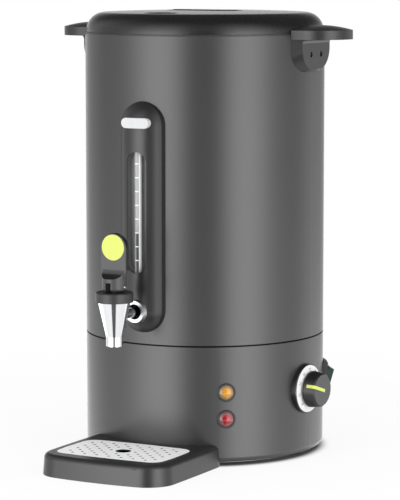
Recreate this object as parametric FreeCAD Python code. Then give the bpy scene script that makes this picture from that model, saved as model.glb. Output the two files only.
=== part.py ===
import FreeCAD, Part
import math
import os

from FreeCAD import Vector, Rotation, Placement

# A double-walled hot water urn with a sight tube, a lever tap and a drip tray.
# Millimetres, +Z up, origin on the floor under the urn's axis.
# The tap faces -Y, and an angle round the urn is counted from -Y towards +X.

# Clearances
overrun = 2.0                   # how far a cutting tool runs past what it cuts
seat_gap = 0.1                  # between two fixed pieces that are seated on each other
lift_gap = 0.3                  # round a piece that is lifted or slid off
turn_gap = 0.06                 # radial, between a pin or shaft and its hole
swing_gap = 0.4                 # between a swinging piece and what it passes

# Casing
body_radius = 138.0
casing_wall = 1.2
ground_gap = 4.0                # under the casing's bottom edge
base_height = 130.9             # lower casing
seam_gap = 1.6                  # groove between the two casings
upper_height = 343.9            # upper casing
edge_radius = 6.0
flange_width = 16.0             # inturned bottom edge

# Ring between the casings
seam_recess = 0.8
spigot_depth = 8.0
spigot_wall = 1.6
ledge_width = 30.0

# Tank
tank_space = 14.0               # casing's outside to the tank's inside
tank_wall = 1.0
tank_corner = 12.0

# Rim at the mouth
rim_thickness = 1.6
rim_recess = 0.6
rim_wall = 1.6
rim_depth = 9.0

# Bottom plate and feet
plate_wall = 1.0
plate_inset = 8.0
plate_screw_count = 6
plate_screw_inset = 12.0        # from the casing's outside
vent_count = 5
vent_length = 40.0
vent_width = 4.0
vent_pitch = 10.0
vent_share = 0.449              # of the casing's radius, the slots' middle
foot_count = 4
foot_inset = 28.0               # from the casing's outside
foot_radius = 10.0
foot_plug_radius = 3.0
foot_barb_radius = 4.5
foot_barb_height = 1.6

# Screws
screw_radius = 1.5
screw_head_radius = 2.8
screw_head_height = 1.6
screw_slot = 0.8
screw_length = 8.0

# Lid
lid_inset = 1.2                 # lid edge inside the casing's radius
lid_height = 24.4               # edge to crown
lid_wall = 2.2
lid_crown_drop = 3.2            # lid's height less the radius of its shoulder
lid_crown_radius = 3000.0
post_radius = 4.0
post_inset = 24.0               # from the tank's inside
post_count = 4
grip_well_length = 92.0
grip_well_width = 58.0
grip_well_depth = 15.0
grip_well_corner = 5.0
grip_length = 84.0
grip_width = 22.0
grip_thickness = 5.5
grip_proud = 0.6
grip_foot = 11.0
grip_round = 1.8
steam_slot_length = 39.0
steam_slot_width = 15.0
steam_slot_inset = 26.0         # from the tank's inside
steam_slot_sink = 2.6
steam_bar_count = 3
steam_bar = 1.6

# Lid liner and seal
liner_wall = 1.0
liner_depth = 7.0
liner_gap = 3.0
liner_flange = 4.0
seal_height = 4.0
seal_lip = 1.2

# Handles
handle_centre_out = 9.5         # centre of the round end, out from the casing
handle_half_width = 38.5
handle_rise = 5.6               # rim's top above the upper casing
handle_rim = 10.2
handle_crown = 5.5
handle_face_out = 6.5           # outer face of the fixing tab
tab_drop = 51.5                 # at the tab's root, below the rim's top
tab_root_half = 40.0
tab_half_width = 33.0
tab_corner = 24.0
tab_foot_rise = 7.5
handle_fillet = 5.0
handle_screw_spacing = 23.6
handle_screw_drop = 27.4
handle_hole_radius = 3.1
handle_hole_depth = 3.4

# Front panel
panel_rise = 12.4               # above the upper casing's lower edge
panel_drop = 71.4               # below the upper casing's top edge
panel_root_half = 27.4
panel_half_width = 23.4
panel_depth = 16.6              # front line of the crown, out from the casing
panel_crown_radius = 32.6
panel_wall = 2.4
window_half_width = 12.6
window_rise = 68.9              # above the panel's lower end
window_drop = 56.0              # below the panel's upper end
window_back = 4.6               # window's floor, out from the casing
window_wall = 1.6
badge_length = 34.8
badge_height = 11.3
badge_drop = 24.0               # below the panel's upper end
badge_proud = 1.1

# Sight tube
tube_radius = 4.2
tube_bore = 3.0
tube_stand = 5.4                # tube's axis in front of the window's floor
tube_low_drop = 10.8            # tube's lower end below the window
tube_high_rise = 9.0            # tube's upper end above the window
socket_radius = 6.6
socket_depth = 6.0
socket_floor = 3.0
stub_radius = 5.0
stub_bore = 2.6
stub_flange_radius = 8.0
stub_flange = 2.0
stub_inside = 6.0
cuff_wall = 0.7
scale_width = 6.0
scale_thickness = 0.6
tick_count = 8
tick_pitch = 15.2
tick_first_height = 8.2         # above the window's lower end
tick_length = 3.4
tick_height = 1.1

# Tap
tap_overhang = 61.0             # stem axis in front of the casing
inlet_rise = 26.1               # above the panel's lower end
spout_drop = 32.6               # tip below the inlet
spout_straight = 10.6
spout_tip_radius = 9.3
spout_shoulder = 16.3           # top of the cone above the inlet
spout_top_radius = 18.0
outlet_bore = 6.4
chamber_bore = 9.0
chamber_top_bore = 12.4
seat_drop = 9.5                 # valve seat below the inlet
seat_bore = 4.6
neck_radius = 15.0
bonnet_radius = 20.8
bonnet_height = 11.0
bonnet_roof = 2.8
bonnet_round = 1.4
shank_radius = 8.5
shank_neck_radius = 5.6         # between the panel and the tap body
shank_bore = 3.8
shank_inside = 16.0             # into the tank
nut_across = 27.0
nut_height = 5.0
washer_radius = 14.0
washer_height = 2.0
collar_radius = 13.2
collar_front_radius = 12.2
collar_bore = 8.65
collar_length = 6.4
collar_edge = 1.2               # upright rim round the collar's foot
collar_sink = 3.1               # collar's foot behind the panel's front line

# Valve and lever
stem_radius = 2.6
cup_radius = 7.6
cup_height = 3.6
cup_rim = 1.0
spring_wire = 0.9
spring_radius = 5.4
spring_turns = 6
pin_rise = 6.1                  # above the screw cap
pin_radius = 2.0
pin_proud = 1.2
hub_radius = 13.5
hub_rise = 9.1                  # above the pin
hub_round = 4.0
fork_width = 6.6
paddle_half_width = 16.4
paddle_length = 40.2            # above the root
paddle_thickness = 6.6
paddle_front = 2.2              # front face from the stem axis
paddle_root_rise = 9.5          # above the hub
paddle_edge = 1.2
disc_radius = 14.2
disc_drop = 15.6                # below the paddle's top
disc_proud = 0.7
disc_depth = 0.8

# Lamps
lamp_angle = 40.0
amber_height = 79.8
lamp_pitch = 30.3
lamp_bezel_radius = 10.4
lamp_bezel_height = 1.6
lamp_bezel_inner = 8.4
lamp_lens_height = 3.4
lamp_body_radius = 7.6
lamp_body_length = 22.0
lamp_nut_radius = 10.0
lamp_nut_height = 3.0

# Thermostat and its dial
dial_angle = 86.5
dial_height = 74.3
bezel_radius = 28.2
bezel_height = 4.2
dial_outer = 26.9
dial_inner = 12.0
dial_thickness = 1.0
dial_rise = 3.4
knob_skirt_radius = 20.8
knob_face_radius = 17.7
knob_start = 8.2                # skirt's underside above the casing
knob_length = 14.4
knob_round = 1.6
knob_stalk = 8.0
pointer_width = 3.6
pointer_proud = 0.7
pointer_angle = 72.0            # anticlockwise from straight up, seen from outside
pointer_past = 4.0
shaft_radius = 3.0
shaft_collar_radius = 5.5
shaft_hole = 4.0
thermostat_width = 34.0
thermostat_height = 30.0
thermostat_depth = 20.0
dial_screw_spacing = 28.0

# Switch
switch_angle = 122.0
switch_height = 75.9
frame_root_height = 39.0
frame_root_width = 29.0
frame_front_height = 32.0
frame_front_width = 22.0
frame_height = 5.6
rocker_height = 27.0
rocker_width = 17.5
rocker_throw = 24.0             # degrees
rocker_tip = 13.0               # far corner above the casing
rocker_heel = 7.4
rocker_slant = 2.0
switch_body_height = 25.0
switch_body_width = 16.0
switch_body_depth = 20.0
switch_well_depth = 6.0
rocker_axle_radius = 1.6
rocker_axle_place = 2.4

# Drip tray and grille
tray_turn = 1.8                 # degrees, the loose tray stands a little askew
tray_half_width = 80.0
tray_reach = 118.0              # in front of the casing
tray_side_bulge = 1.0
tray_front_bulge = 7.0
tray_back_bulge = 0.5
tray_corner = 32.0
tray_draft = 2.0
tray_height = 24.0
tray_round = 6.0
tray_wall = 2.4
tray_tuck = 48.0                # behind the casing's front line
grille_half_width = 65.5
grille_inset = 24.0             # from the tray's front
grille_start = 12.5             # in front of the casing
grille_bulge = 2.6
grille_corner = 15.0
grille_thickness = 1.2
grille_ledge = 3.0
basin_floor = 3.0
grille_hole = 1.7
grille_pitch = 15.4
grille_row = 8.0
grille_edge = 6.0
drain_hole = 8.8

# Heating and controls inside the base
heat_plate_share = 0.609        # of the casing's radius
heat_plate_thickness = 4.0
element_share = 0.449
element_tube = 4.2
element_sweep = 320.0
element_pin_length = 16.0
element_pin_radius = 2.0
bulb_share = 0.435
bulb_place_share = 0.087
strap_wall = 1.0
strap_width = 12.0
stud_radius = 2.5
stud_length = 10.0
stud_nut_across = 8.0
stud_nut_height = 3.0
stud_share = 0.333
stud_count = 3
cutout_share = 0.362
cutout_radius = 13.0
cutout_height = 20.0
button_radius = 3.0
button_travel = 1.5
button_flange = 4.6
block_length = 34.0
block_width = 18.0
block_height = 15.0
block_share = 0.609
wire_radius = 1.2
wire_rise = 24.0
wire_share = 0.71               # where the leads run round the base
wire_spread_angle = 18.0        # degrees
wire_spacing = 6.0
capillary_radius = 0.9
capillary_rise = 9.0
gland_height = 34.0
gland_radius = 9.0
gland_flange = 12.5
gland_flange_height = 3.0
gland_nose = 9.0
gland_inside = 12.0
gland_bore = 3.6
gland_nut_across = 23.0
gland_nut_height = 5.0

# Levels worked out from the sizes above
base_bottom = ground_gap
seam_low = base_bottom + base_height
seam_high = seam_low + seam_gap
rim_level = seam_high + upper_height
rim_top = rim_level + rim_thickness
lid_edge = rim_top + lift_gap
lid_radius = body_radius - lid_inset
lid_top = lid_edge + lid_height
lid_shoulder = lid_height - lid_crown_drop
casing_inner = body_radius - casing_wall
tank_radius = body_radius - tank_space
tank_outer = tank_radius + tank_wall
plate_screw_radius = body_radius - plate_screw_inset
foot_circle = body_radius - foot_inset
vent_place = body_radius * vent_share
post_circle = tank_radius - post_inset
steam_slot_place = tank_radius - steam_slot_inset
handle_reach = body_radius + handle_centre_out
handle_face = body_radius + handle_face_out
handle_top = rim_level + handle_rise
tab_bottom = handle_top - tab_drop
handle_screw_height = handle_top - handle_screw_drop
panel_bottom = seam_high + panel_rise
panel_top = rim_level - panel_drop
panel_front = body_radius + panel_depth
window_bottom = panel_bottom + window_rise
window_top = panel_top - window_drop
window_floor = body_radius + window_back
badge_place = panel_top - badge_drop
badge_front = panel_front + badge_proud
tube_place = window_floor + tube_stand
tube_bottom = window_bottom - tube_low_drop
tube_top = window_top + tube_high_rise
tick_first = window_bottom + tick_first_height
stem_y = -body_radius - tap_overhang
inlet_z = panel_bottom + inlet_rise
spout_tip = inlet_z - spout_drop
seat_level = inlet_z - seat_drop
shank_thread_end = tank_radius - shank_inside
collar_place = panel_front - collar_sink
bonnet_low = inlet_z + spout_shoulder
bonnet_top = bonnet_low + bonnet_height
pin_z = bonnet_top + pin_rise
hub_top = pin_z + hub_rise
paddle_root = hub_top + paddle_root_rise
paddle_top = paddle_root + paddle_length
disc_place = paddle_top - disc_drop
red_height = amber_height - lamp_pitch
tray_front = body_radius + tray_reach
tray_back = body_radius - tray_tuck
grille_front = tray_front - grille_inset
grille_back = body_radius + grille_start
heat_plate_radius = body_radius * heat_plate_share
element_radius = body_radius * element_share
bulb_length = body_radius * bulb_share
bulb_place = body_radius * bulb_place_share
stud_circle = body_radius * stud_share
cutout_place = body_radius * cutout_share
block_place = body_radius * block_share
wire_circle = body_radius * wire_share
axis_z = Vector(0, 0, 1)
axis_x = Vector(1, 0, 0)
out = Vector(0, -1, 0)
origin = Vector(0, 0, 0)


def ring(outer, inner, low, high):
    """A plain ring about the urn's axis."""
    solid = Part.makeCylinder(outer, high - low, Vector(0, 0, low))
    hole = Part.makeCylinder(inner, high - low + 2 * overrun, Vector(0, 0, low - overrun))
    return solid.cut(hole)


def box(x_low, x_high, y_low, y_high, z_low, z_high):
    """A block between two corners."""
    return Part.makeBox(x_high - x_low, y_high - y_low, z_high - z_low, Vector(x_low, y_low, z_low))


def turned(points):
    """A solid of revolution about Z from a closed outline of (radius, height)."""
    corners = [Vector(radius, 0, height) for radius, height in points]
    wire = Part.makePolygon(corners + corners[:1])
    return Part.Face(wire).revolve(origin, axis_z, 360)


def turned_out(points, z_place):
    """A solid of revolution about the -Y line at a height; outline of (radius, distance out)."""
    corners = [Vector(radius, -reach, z_place) for radius, reach in points]
    wire = Part.makePolygon(corners + corners[:1])
    return Part.Face(wire).revolve(Vector(0, 0, z_place), out, 360)


def rod(radius, start, end):
    """A round bar from one point to another."""
    along = end - start
    return Part.makeCylinder(radius, along.Length, start, along)


def hexagon(across, height, base, along):
    """A hexagonal prism, its width given across the flats."""
    radius = across / math.sqrt(3)
    points = []
    for corner in range(7):
        turn = math.radians(60 * corner)
        points.append(Vector(radius * math.cos(turn), radius * math.sin(turn), 0))
    prism = Part.Face(Part.makePolygon(points)).extrude(Vector(0, 0, height))
    prism.Placement = Placement(base, Rotation(axis_z, along))
    return prism


def round_about(shape, angle):
    """The shape turned about the urn's axis, from the front towards +X."""
    turned_shape = shape.copy()
    turned_shape.rotate(origin, axis_z, angle)
    return turned_shape


def screw(tip, along, length=screw_length):
    """A pan-head screw whose head's underside is at tip, with its thread running along."""
    head = Part.makeCylinder(screw_head_radius, screw_head_height, Vector(0, 0, -screw_head_height))
    body = head.fuse(Part.makeCylinder(screw_radius, length, origin))
    slot = screw_slot / 2
    for turn in (0, 90):
        cross = box(-screw_head_radius / 2, screw_head_radius / 2, -slot, slot,
                    -screw_head_height - overrun, -screw_head_height / 2)
        cross.rotate(origin, axis_z, turn)
        body = body.cut(cross)
    body.Placement = Placement(tip, Rotation(axis_z, along))
    return body


def stadium(half_width, low, high, y_place):
    """A closed wire in the plane y = y_place: straight sides and round ends."""
    centre_low = low + half_width
    centre_high = high - half_width
    right_low = Vector(half_width, y_place, centre_low)
    right_high = Vector(half_width, y_place, centre_high)
    left_low = Vector(-half_width, y_place, centre_low)
    left_high = Vector(-half_width, y_place, centre_high)
    top = Vector(0, y_place, high)
    bottom = Vector(0, y_place, low)
    edges = [Part.LineSegment(right_low, right_high).toShape(),
             Part.Arc(right_high, top, left_high).toShape(),
             Part.LineSegment(left_high, left_low).toShape(),
             Part.Arc(left_low, bottom, right_low).toShape()]
    return Part.Wire(edges)


def flat_stadium(half_length, half_width, x_place, y_place, low, high):
    """An upright prism on a stadium that is long in X."""
    corner = [Vector(x_place + sign * (half_length - half_width), y_place + side * half_width, low)
              for sign, side in ((1, -1), (1, 1), (-1, 1), (-1, -1))]
    tip = Vector(x_place + half_length, y_place, low)
    tail = Vector(x_place - half_length, y_place, low)
    wire = Part.Wire([Part.Arc(corner[0], tip, corner[1]).toShape(),
                      Part.LineSegment(corner[1], corner[2]).toShape(),
                      Part.Arc(corner[2], tail, corner[3]).toShape(),
                      Part.LineSegment(corner[3], corner[0]).toShape()])
    return Part.Face(wire).extrude(Vector(0, 0, high - low))


def soft_rectangle(half_x, front, back, side_bulge, front_bulge, back_bulge, corner):
    """A wire on the floor: a rectangle with bulged sides and rounded corners."""
    middle = (front + back) / 2
    corners = [Vector(half_x, -back, 0), Vector(half_x, -front, 0),
               Vector(-half_x, -front, 0), Vector(-half_x, -back, 0)]
    bulges = [Vector(half_x + side_bulge, -middle, 0), Vector(0, -front - front_bulge, 0),
              Vector(-half_x - side_bulge, -middle, 0), Vector(0, -back + back_bulge, 0)]
    edges = []
    for index in range(4):
        end = corners[(index + 1) % 4]
        edges.append(Part.Arc(corners[index], bulges[index], end).toShape())
    block = Part.Face(Part.Wire(edges)).extrude(Vector(0, 0, corner))
    upright = [edge for edge in block.Edges if abs(edge.tangentAt(edge.FirstParameter).z) > 0.9]
    block = block.makeFillet(corner, upright)
    flat = [face for face in block.Faces if face.BoundBox.ZMax < corner / 2]
    return flat[0].OuterWire


def raised(wire, height):
    """The wire lifted to a height."""
    lifted = wire.copy()
    lifted.translate(Vector(0, 0, height))
    return lifted


def prism(wire, low, high):
    """An upright prism on a wire that lies on the floor."""
    return Part.Face(raised(wire, low)).extrude(Vector(0, 0, high - low))


def outward_edges(shape, low, high):
    """The edges whose middle lies between two heights."""
    return [edge for edge in shape.Edges if low < edge.CenterOfMass.z < high]


# Casing

def control_holes(shape):
    """The lower casing with its holes for lamps, dial shaft, screws, switch and cord."""
    reach = body_radius + overrun
    depth = flange_width + overrun
    for height in (amber_height, red_height):
        tool = rod(lamp_body_radius + seat_gap, Vector(0, -reach, base_bottom + height),
                   Vector(0, -reach + depth, base_bottom + height))
        shape = shape.cut(round_about(tool, lamp_angle))
    dial_z = base_bottom + dial_height
    tool = rod(shaft_collar_radius + seat_gap, Vector(0, -reach, dial_z), Vector(0, -reach + depth, dial_z))
    for side in (-1, 1):
        x_place = side * dial_screw_spacing / 2
        tool = tool.fuse(rod(screw_radius + seat_gap, Vector(x_place, -reach, dial_z),
                             Vector(x_place, -reach + depth, dial_z)))
    shape = shape.cut(round_about(tool, dial_angle))
    half_x = switch_body_width / 2 + seat_gap
    half_z = switch_body_height / 2 + seat_gap
    switch_z = base_bottom + switch_height
    tool = box(-half_x, half_x, -reach, -reach + depth, switch_z - half_z, switch_z + half_z)
    shape = shape.cut(round_about(tool, switch_angle))
    gland_z = base_bottom + gland_height
    tool = rod(gland_radius + seat_gap, Vector(0, reach, gland_z), Vector(0, reach - depth, gland_z))
    return shape.cut(tool)


def base_casing():
    """Lower casing: a rolled sheet drum with a rounded, inturned bottom edge."""
    low = base_bottom
    outer = Part.makeCylinder(body_radius, base_height, Vector(0, 0, low))
    outer = outer.makeFillet(edge_radius, outward_edges(outer, low - casing_wall, low + casing_wall))
    inner = Part.makeCylinder(casing_inner, base_height, Vector(0, 0, low + casing_wall))
    inner = inner.makeFillet(edge_radius - casing_wall, outward_edges(inner, low, low + 2 * casing_wall))
    mouth = Part.makeCylinder(body_radius - flange_width, base_height, Vector(0, 0, low - overrun))
    shell = outer.cut(inner).cut(mouth)
    for index in range(plate_screw_count):
        shell = shell.cut(plate_screw_hole(index, low - overrun, low + 2 * casing_wall))
    return control_holes(shell)


def plate_screw_place(index):
    """Where a bottom screw stands."""
    turn = math.radians(360 * (index + 0.5) / plate_screw_count)
    return Vector(plate_screw_radius * math.sin(turn), -plate_screw_radius * math.cos(turn), 0)


def plate_screw_hole(index, low, high):
    """A hole for a bottom screw."""
    place = plate_screw_place(index)
    return Part.makeCylinder(screw_radius + seat_gap, high - low, place + Vector(0, 0, low))


def upper_casing():
    """Upper casing: a plain drum with holes for the tap, the sight tube and the handle screws."""
    shell = ring(body_radius, casing_inner, seam_high, rim_level)
    for tool in front_holes():
        shell = shell.cut(tool)
    for tool in handle_screw_tools(screw_radius + seat_gap):
        shell = shell.cut(tool)
    return shell


def front_holes():
    """Cutting tools through both walls behind the front panel."""
    reach = body_radius + overrun
    inner = Vector(0, -tank_radius + flange_width, 0)
    tools = [rod(shank_radius + seat_gap, Vector(0, -reach, inlet_z), inner + Vector(0, 0, inlet_z))]
    for height in (stub_level_low, stub_level_high):
        tools.append(rod(stub_radius + seat_gap, Vector(0, -reach, height), inner + Vector(0, 0, height)))
    return tools


def seam_ring():
    """Moulded ring between the casings: lip in the groove, spigots inside, ledge under the tank."""
    lip_outer = body_radius - seam_recess
    spigot_outer = casing_inner - seat_gap
    spigot_inner = spigot_outer - spigot_wall
    ledge_inner = tank_outer - ledge_width
    low = seam_low + seat_gap
    high = seam_high - seat_gap
    return turned([(ledge_inner, low), (spigot_inner, low), (spigot_inner, seam_low - spigot_depth),
                   (spigot_outer, seam_low - spigot_depth), (spigot_outer, low), (lip_outer, low),
                   (lip_outer, high), (spigot_outer, high), (spigot_outer, seam_high + spigot_depth),
                   (spigot_inner, seam_high + spigot_depth), (spigot_inner, high), (ledge_inner, high)])


def tank():
    """Inner tank: a drawn pan with a rounded foot and an outturned mouth."""
    low = seam_high
    outer = Part.makeCylinder(tank_outer, rim_level - low, Vector(0, 0, low))
    outer = outer.makeFillet(tank_corner, outward_edges(outer, low - tank_wall, low + tank_wall))
    inner = Part.makeCylinder(tank_radius, rim_level - low, Vector(0, 0, low + tank_wall))
    inner = inner.makeFillet(tank_corner - tank_wall, outward_edges(inner, low, low + 2 * tank_wall))
    lip = ring(casing_inner - rim_wall - 2 * seat_gap, tank_radius, rim_level - tank_wall, rim_level)
    pan = outer.cut(inner).fuse(lip).removeSplitter()
    for tool in front_holes():
        pan = pan.cut(tool)
    return pan


def mouth_rim():
    """Moulded rim that caps the casing's top edge and the tank's lip."""
    spigot_outer = casing_inner - seat_gap
    spigot_inner = spigot_outer - rim_wall
    inner = tank_radius + tank_wall / 2
    low = rim_level + seat_gap
    return turned([(inner, low), (spigot_inner, low), (spigot_inner, rim_level - rim_depth),
                   (spigot_outer, rim_level - rim_depth), (spigot_outer, low),
                   (body_radius - rim_recess, low), (body_radius - rim_recess, rim_top), (inner, rim_top)])


def base_plate():
    """Round steel plate that closes the base, with cooling slots and holes for feet and button."""
    low = base_bottom - plate_wall
    plate = Part.makeCylinder(body_radius - plate_inset, plate_wall, Vector(0, 0, low))
    high = base_bottom + overrun
    tools = [plate_screw_hole(index, low - overrun, high) for index in range(plate_screw_count)]
    for place in foot_places():
        tools.append(Part.makeCylinder(foot_plug_radius + seat_gap, high, place))
    for index in range(vent_count):
        shift = (index - (vent_count - 1) / 2) * vent_pitch
        tools.append(flat_stadium(vent_length / 2, vent_width / 2, -vent_place, shift, 0, high))
    tools.append(Part.makeCylinder(button_radius + lift_gap, high, Vector(cutout_place, 0, 0)))
    for tool in tools:
        plate = plate.cut(tool)
    return plate


def base_screws():
    """Screws that hold the bottom plate to the casing's inturned edge."""
    under = Vector(0, 0, base_bottom - plate_wall)
    return [screw(plate_screw_place(index) + under, axis_z) for index in range(plate_screw_count)]


def foot_places():
    """Where the feet stand on the floor."""
    places = []
    for index in range(foot_count):
        turn = math.radians(360 * (index + 0.5) / foot_count)
        places.append(Vector(foot_circle * math.sin(turn), -foot_circle * math.cos(turn), 0))
    return places


def feet():
    """Rubber feet: a pad under the plate and a barbed plug through it."""
    under = base_bottom - plate_wall
    pads = []
    for place in foot_places():
        pad = Part.makeCylinder(foot_radius, under, place)
        pad = pad.fuse(Part.makeCylinder(foot_plug_radius, plate_wall + foot_barb_height,
                                         place + Vector(0, 0, under)))
        barb = Part.makeCylinder(foot_barb_radius, foot_barb_height, place + Vector(0, 0, base_bottom))
        pad = pad.fuse(barb)
        pads.append(pad)
    return Part.makeCompound(pads)


# Lid

def dome(radius, shoulder, crown, low, top):
    """A closed solid under a domed top: upright edge, round shoulder, shallow crown."""
    centre_r = radius - shoulder
    crown_z = top - crown
    centre_z = crown_z + math.sqrt((crown - shoulder) ** 2 - centre_r ** 2)
    meet = math.atan2(centre_z - crown_z, centre_r)
    half = meet / 2
    edge_point = Vector(radius, 0, centre_z)
    half_point = Vector(centre_r + shoulder * math.cos(half), 0, centre_z + shoulder * math.sin(half))
    meet_point = Vector(centre_r + shoulder * math.cos(meet), 0, centre_z + shoulder * math.sin(meet))
    slope = (meet + math.pi / 2) / 2
    crown_point = Vector(crown * math.cos(slope), 0, crown_z + crown * math.sin(slope))
    peak = Vector(0, 0, top)
    wire = Part.Wire([Part.LineSegment(Vector(0, 0, low), Vector(radius, 0, low)).toShape(),
                      Part.LineSegment(Vector(radius, 0, low), edge_point).toShape(),
                      Part.Arc(edge_point, half_point, meet_point).toShape(),
                      Part.Arc(meet_point, crown_point, peak).toShape(),
                      Part.LineSegment(peak, Vector(0, 0, low)).toShape()])
    return Part.Face(wire).revolve(origin, axis_z, 360)


def lid_crown_at(distance):
    """Height of the lid's outer crown at a distance from the axis."""
    return lid_top - lid_crown_radius + math.sqrt(lid_crown_radius ** 2 - distance ** 2)


def post_places():
    """Where the screw posts stand inside the lid."""
    places = []
    for index in range(post_count):
        turn = math.radians(360 * (index + 0.5) / post_count)
        places.append(Vector(post_circle * math.sin(turn), -post_circle * math.cos(turn), 0))
    return places


def grip_well(grow):
    """The oval well under the lid's grip, or the same grown by a wall."""
    floor = lid_top - grip_well_depth - grow
    well = flat_stadium(grip_well_length / 2 + grow, grip_well_width / 2 + grow, 0, 0,
                        floor, lid_top + overrun)
    corner = grip_well_corner + grow
    return well.makeFillet(corner, outward_edges(well, floor - corner / 4, floor + corner / 4))


def steam_slot(grow, low, high):
    """The oval steam opening near the lid's edge."""
    return flat_stadium(steam_slot_length / 2 + grow, steam_slot_width / 2 + grow,
                        0, -steam_slot_place, low, high)


def lid_shell():
    """Lid: a moulded dome with a well for the grip, a steam opening and screw posts."""
    outer = dome(lid_radius, lid_shoulder, lid_crown_radius, lid_edge, lid_top)
    inner = dome(lid_radius - lid_wall, lid_shoulder - lid_wall, lid_crown_radius - lid_wall,
                 lid_edge - overrun, lid_top - lid_wall)
    liner_top = rim_top + liner_wall + lift_gap
    extras = grip_well(lid_wall)
    for place in post_places():
        post = Part.makeCylinder(post_radius, lid_top - liner_top, place + Vector(0, 0, liner_top))
        extras = extras.fuse(post)
    vent_low = lid_crown_at(steam_slot_place) - steam_slot_sink - 3 * lid_wall
    extras = extras.fuse(steam_slot(lid_wall, vent_low, lid_top))
    solid = outer.cut(inner.cut(extras))
    solid = solid.cut(grip_well(0))
    solid = solid.cut(steam_slot(0, vent_low - overrun, lid_top + overrun))
    for place in post_places():
        solid = solid.cut(Part.makeCylinder(screw_radius, screw_length + seat_gap,
                                            place + Vector(0, 0, liner_top - overrun)))
    for side in (-1, 1):
        place = grip_screw_place(side)
        solid = solid.cut(rod(screw_radius + seat_gap, place, place + Vector(0, 0, 2 * lid_wall)))
    return solid


def grip_screw_place(side):
    """Under the well's floor, below one end of the grip."""
    reach = (grip_length - grip_foot) / 2
    return Vector(side * reach, 0, lid_top - grip_well_depth - lid_wall)


def grip():
    """Bridge-shaped grip across the well, standing a little above the crown."""
    top = lid_top + grip_proud
    floor = lid_top - grip_well_depth
    bar = flat_stadium(grip_length / 2, grip_width / 2, 0, 0, floor + seat_gap, top)
    rounded = [edge for edge in bar.Edges if edge.BoundBox.ZMin > top - grip_round]
    bar = bar.makeFillet(grip_round, rounded)
    reach = grip_length / 2 - grip_foot
    gap = box(-reach, reach, -grip_width, grip_width, floor - overrun, top - grip_thickness)
    for side in (-1, 1):
        place = grip_screw_place(side)
        gap = gap.fuse(rod(screw_radius, place, place + Vector(0, 0, screw_length + seat_gap)))
    return bar.cut(gap)


def grip_screws():
    """Screws from inside the lid into the grip's feet."""
    return [screw(grip_screw_place(side), axis_z) for side in (-1, 1)]


def steam_vent():
    """Louvre set into the steam opening."""
    top = lid_crown_at(steam_slot_place) - steam_slot_sink
    low = top - 2 * lid_wall
    frame = steam_slot(-seat_gap, low, top)
    opening = steam_slot(-seat_gap - steam_bar, low - overrun, top + overrun)
    bars = None
    pitch = (steam_slot_length - 2 * steam_bar) / (steam_bar_count + 1)
    for index in range(steam_bar_count):
        middle = (index + 1) * pitch - (steam_slot_length - 2 * steam_bar) / 2
        bar = box(middle - steam_bar / 2, middle + steam_bar / 2, -steam_slot_place - steam_slot_width,
                  -steam_slot_place + steam_slot_width, low, top - steam_bar)
        bars = bar if bars is None else bars.fuse(bar)
    return frame.cut(opening.cut(bars)).removeSplitter()


def liner():
    """Stainless pan under the lid that reaches into the tank's mouth."""
    wall_outer = tank_radius - liner_gap
    low = rim_level - liner_depth
    top = rim_top + lift_gap + liner_wall
    under = top - liner_wall
    edge = tank_radius + liner_flange
    pan = turned([(0, low), (wall_outer, low), (wall_outer, under), (edge, under), (edge, top),
                  (wall_outer - liner_wall, top), (wall_outer - liner_wall, low + liner_wall),
                  (0, low + liner_wall)])
    for place in post_places():
        pan = pan.cut(Part.makeCylinder(screw_radius + seat_gap, liner_wall + 2 * overrun,
                                        place + Vector(0, 0, low - overrun)))
        pan = pan.fuse(post_sleeve(place, low, top))
    vent = Vector(0, -steam_slot_place, low - overrun)
    pan = pan.cut(Part.makeCylinder(steam_slot_width / 3, liner_wall + 2 * overrun, vent))
    return pan


def post_sleeve(place, low, top):
    """A pressed sleeve that carries a screw post on the liner."""
    sleeve = Part.makeCylinder(post_radius, top - low - liner_wall, place + Vector(0, 0, low + liner_wall))
    hole = Part.makeCylinder(screw_radius + seat_gap, top - low + overrun, place + Vector(0, 0, low))
    return sleeve.cut(hole)


def lid_seal():
    """Silicone ring on the liner's wall that closes the tank's mouth."""
    inner = tank_radius - liner_gap + seat_gap / 2
    outer = tank_radius - lift_gap
    low = rim_level - seal_height - lift_gap
    high = rim_level - lift_gap
    return turned([(inner, low), (outer - seal_lip, low), (outer, low + seal_lip),
                   (outer, high - seal_lip), (outer - seal_lip, high), (inner, high)])


def lid_fasteners():
    """Screws up through the liner into the lid's posts, and into the grip."""
    low = rim_level - liner_depth
    length = rim_top + liner_wall + lift_gap - low + screw_length - overrun
    screws = [screw(place + Vector(0, 0, low), axis_z, length) for place in post_places()]
    return Part.makeCompound(screws + grip_screws())


# Handles

def handle_level():
    """Underside of the handle's rim."""
    return handle_top - handle_rim


def u_wire(x_place, half_width, low, high, corner):
    """A closed U in the plane x = x_place with rounded lower corners."""
    reach = half_width - corner
    drop = low + corner
    diagonal = corner * math.sqrt(0.5)
    points = {"tl": Vector(x_place, -half_width, high), "l": Vector(x_place, -half_width, drop),
              "lm": Vector(x_place, -reach - diagonal, drop - diagonal),
              "bl": Vector(x_place, -reach, low), "br": Vector(x_place, reach, low),
              "rm": Vector(x_place, reach + diagonal, drop - diagonal),
              "r": Vector(x_place, half_width, drop), "tr": Vector(x_place, half_width, high)}
    return Part.Wire([Part.LineSegment(points["tl"], points["l"]).toShape(),
                      Part.Arc(points["l"], points["lm"], points["bl"]).toShape(),
                      Part.LineSegment(points["bl"], points["br"]).toShape(),
                      Part.Arc(points["br"], points["rm"], points["r"]).toShape(),
                      Part.LineSegment(points["r"], points["tr"]).toShape(),
                      Part.LineSegment(points["tr"], points["tl"]).toShape()])


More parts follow.
